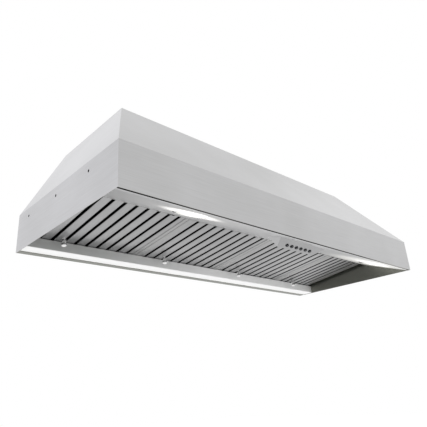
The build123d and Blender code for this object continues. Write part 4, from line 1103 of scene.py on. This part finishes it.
@dataclass
class Studio:
    """A pale room: white surroundings, a floor well below the hood, and two soft lamps."""

    floor_height: float = -1.4
    floor_side: float = 30.0
    floor_lift: float = 0.25
    world_strength: float = 0.9
    aim: tuple[float, float, float] = (0.0, 0.0, 0.15)
    lamp_side: float = 3.0
    lamp_power: float = 5.0
    right_lamp: tuple[float, float, float] = (4.2, -0.3, 2.4)
    back_lamp: tuple[float, float, float] = (0.9, 3.6, 2.8)

    def build_world(self) -> None:
        """White behind the object and in what metal and glass show, a little less as light."""
        world = bpy.data.worlds.new("studio_white")
        world.use_nodes = True
        tree = world.node_tree
        tree.nodes.clear()
        strength = mapped(tree, background_ray(tree), (0.0, 1.0), (self.world_strength, 1.0))
        values = {"Color": linear("#ffffff"), "Strength": strength}
        white = add(tree, "ShaderNodeBackground", values)
        add(tree, "ShaderNodeOutputWorld", {"Surface": white.outputs["Background"]})
        bpy.context.scene.world = world

    def build_floor(self) -> None:
        """A wide pale floor, white where it is lit, to the camera and in metal and glass."""
        material, tree = fresh("pale_studio_floor")
        colour = ramp(tree, noise(tree, object_place(tree), 3.0, 2.0), "#f4f4f3", "#f8f8f8")
        matt = add(tree, "ShaderNodeBsdfDiffuse", {"Color": colour})
        lift = maths(tree, "MULTIPLY", background_ray(tree), self.floor_lift)
        glow = add(tree, "ShaderNodeEmission", {"Color": linear("#ffffff"), "Strength": lift})
        values = {0: matt.outputs["BSDF"], 1: glow.outputs["Emission"]}
        both = add(tree, "ShaderNodeAddShader", values)
        add(tree, "ShaderNodeOutputMaterial", {"Surface": both.outputs["Shader"]})
        half = self.floor_side / 2
        corners = np.array([(-half, -half), (half, -half), (half, half), (-half, half)])
        points = np.column_stack([corners, np.full(4, self.floor_height)])
        floor = mesh_piece("studio_floor", (points, [[0, 1, 2, 3]]), [material])

    def build_lamp(self, name: str, place: tuple[float, float, float]) -> None:
        """A square soft lamp that looks at the hood's middle."""
        data = bpy.data.lights.new(name, "AREA")
        data.shape, data.size, data.energy = "SQUARE", self.lamp_side, self.lamp_power
        lamp = bpy.data.objects.new(name, data)
        aim = (Vector(self.aim) - Vector(place)).to_track_quat("-Z", "Y")
        lamp.matrix_world = Matrix.Translation(place) @ aim.to_matrix().to_4x4()
        bpy.context.scene.collection.objects.link(lamp)

    def build_camera(self) -> None:
        """The camera that took the photograph, fitted to the shell's corners."""
        data = bpy.data.cameras.new("photo_camera")
        data.sensor_width = SENSOR_WIDTH
        data.lens = FOCAL_PIXELS * SENSOR_WIDTH / PHOTO_SIDE
        data.clip_end = 100.0
        forward = Vector(
            (
                sin(CAMERA_TURN) * cos(CAMERA_RISE),
                cos(CAMERA_TURN) * cos(CAMERA_RISE),
                sin(CAMERA_RISE),
            )
        )
        level = Vector((cos(CAMERA_TURN), -sin(CAMERA_TURN), 0.0))
        rise = level.cross(forward)
        right = level * cos(CAMERA_ROLL) + rise * sin(CAMERA_ROLL)
        up = rise * cos(CAMERA_ROLL) - level * sin(CAMERA_ROLL)
        turn = Matrix((right, up, -forward)).transposed()
        camera = bpy.data.objects.new("photo_camera", data)
        camera.matrix_world = Matrix.Translation(CAMERA_PLACE) @ turn.to_4x4()
        bpy.context.scene.collection.objects.link(camera)
        bpy.context.scene.camera = camera

    def build(self) -> None:
        """Sets up the world, the floor, the two lamps and the camera."""
        self.build_world()
        self.build_floor()
        self.build_lamp("right_soft_lamp", self.right_lamp)
        self.build_lamp("back_soft_lamp", self.back_lamp)
        self.build_camera()
        bpy.context.scene.view_settings.view_transform = "Standard"


@dataclass
class Hardware:
    """The blower, motor, damper, wiring boxes and fasteners, which keep their own shape."""

    sheet: tuple[str, ...] = (
        "blower_wrapper",
        "blower_side_left",
        "blower_side_right",
        "motor_bracket",
        "junction_box",
        "junction_box_cover",
        "capacitor_clamp",
    )
    wheel: tuple[str, ...] = ("blower_wheel", "wheel_blades")
    bright: tuple[str, ...] = ("motor_shaft", "damper_rod", "motor_bearings")
    plated: tuple[str, ...] = ("screws", "hex_nuts", "lamp_clips")
    flaps: tuple[str, ...] = ("damper_flap_front", "damper_flap_back")
    sinks: tuple[str, ...] = ("lamp_left_heat_sink", "lamp_right_heat_sink")
    white: tuple[str, ...] = ("lamp_driver", "capacitor")
    black: tuple[str, ...] = ("push_switches", "cable_gland")
    stack: tuple[str, ...] = ("motor_stator", "motor_rotor")

    def build(self) -> None:
        """Dresses each group in its own metal or plastic."""
        dress(self.sheet, Spangled("galvanised_sheet").make())
        dress(self.wheel, Spangled("galvanised_wheel_strip", "#85898c", "#a3a7aa", 0.008).make())
        dress(self.bright, Turned("ground_shaft_steel").make())
        dress(self.plated, Turned("zinc_plated_steel", "#a8aaab", "#c0c2c3", 0.3).make())
        dress(self.flaps, Coated("mill_aluminium", "#b4b6b8", "#c6c8ca", 0.4, 1.0).make())
        dress(self.sinks, Coated("die_cast_aluminium", "#8d8f91", "#a5a7a9", 0.5, 1.0).make())
        dress(self.white, Coated("white_polycarbonate", "#d2d2cd", "#dededa", 0.45).make())
        dress(self.black, Coated("black_polyamide", "#141414", "#1d1d1d", 0.5).make())
        dress(("control_board",), Coated("green_solder_mask", "#17452a", "#205a37", 0.3).make())
        dress(("motor_case",), Coated("black_motor_enamel", "#161616", "#222222", 0.35).make())
        dress(self.stack, Coated("electrical_steel_stack", "#4e4c4a", "#64615e", 0.55, 0.8).make())
        log.info("hardware dressed")


def main() -> None:
    """Builds each sub-assembly in order."""
    for assembly in (Canopy(), Lamps(), Buttons(), Filters(), Hardware(), Studio()):
        assembly.build()
    log.info("sizes written")


if __name__ == "__main__":
    main()
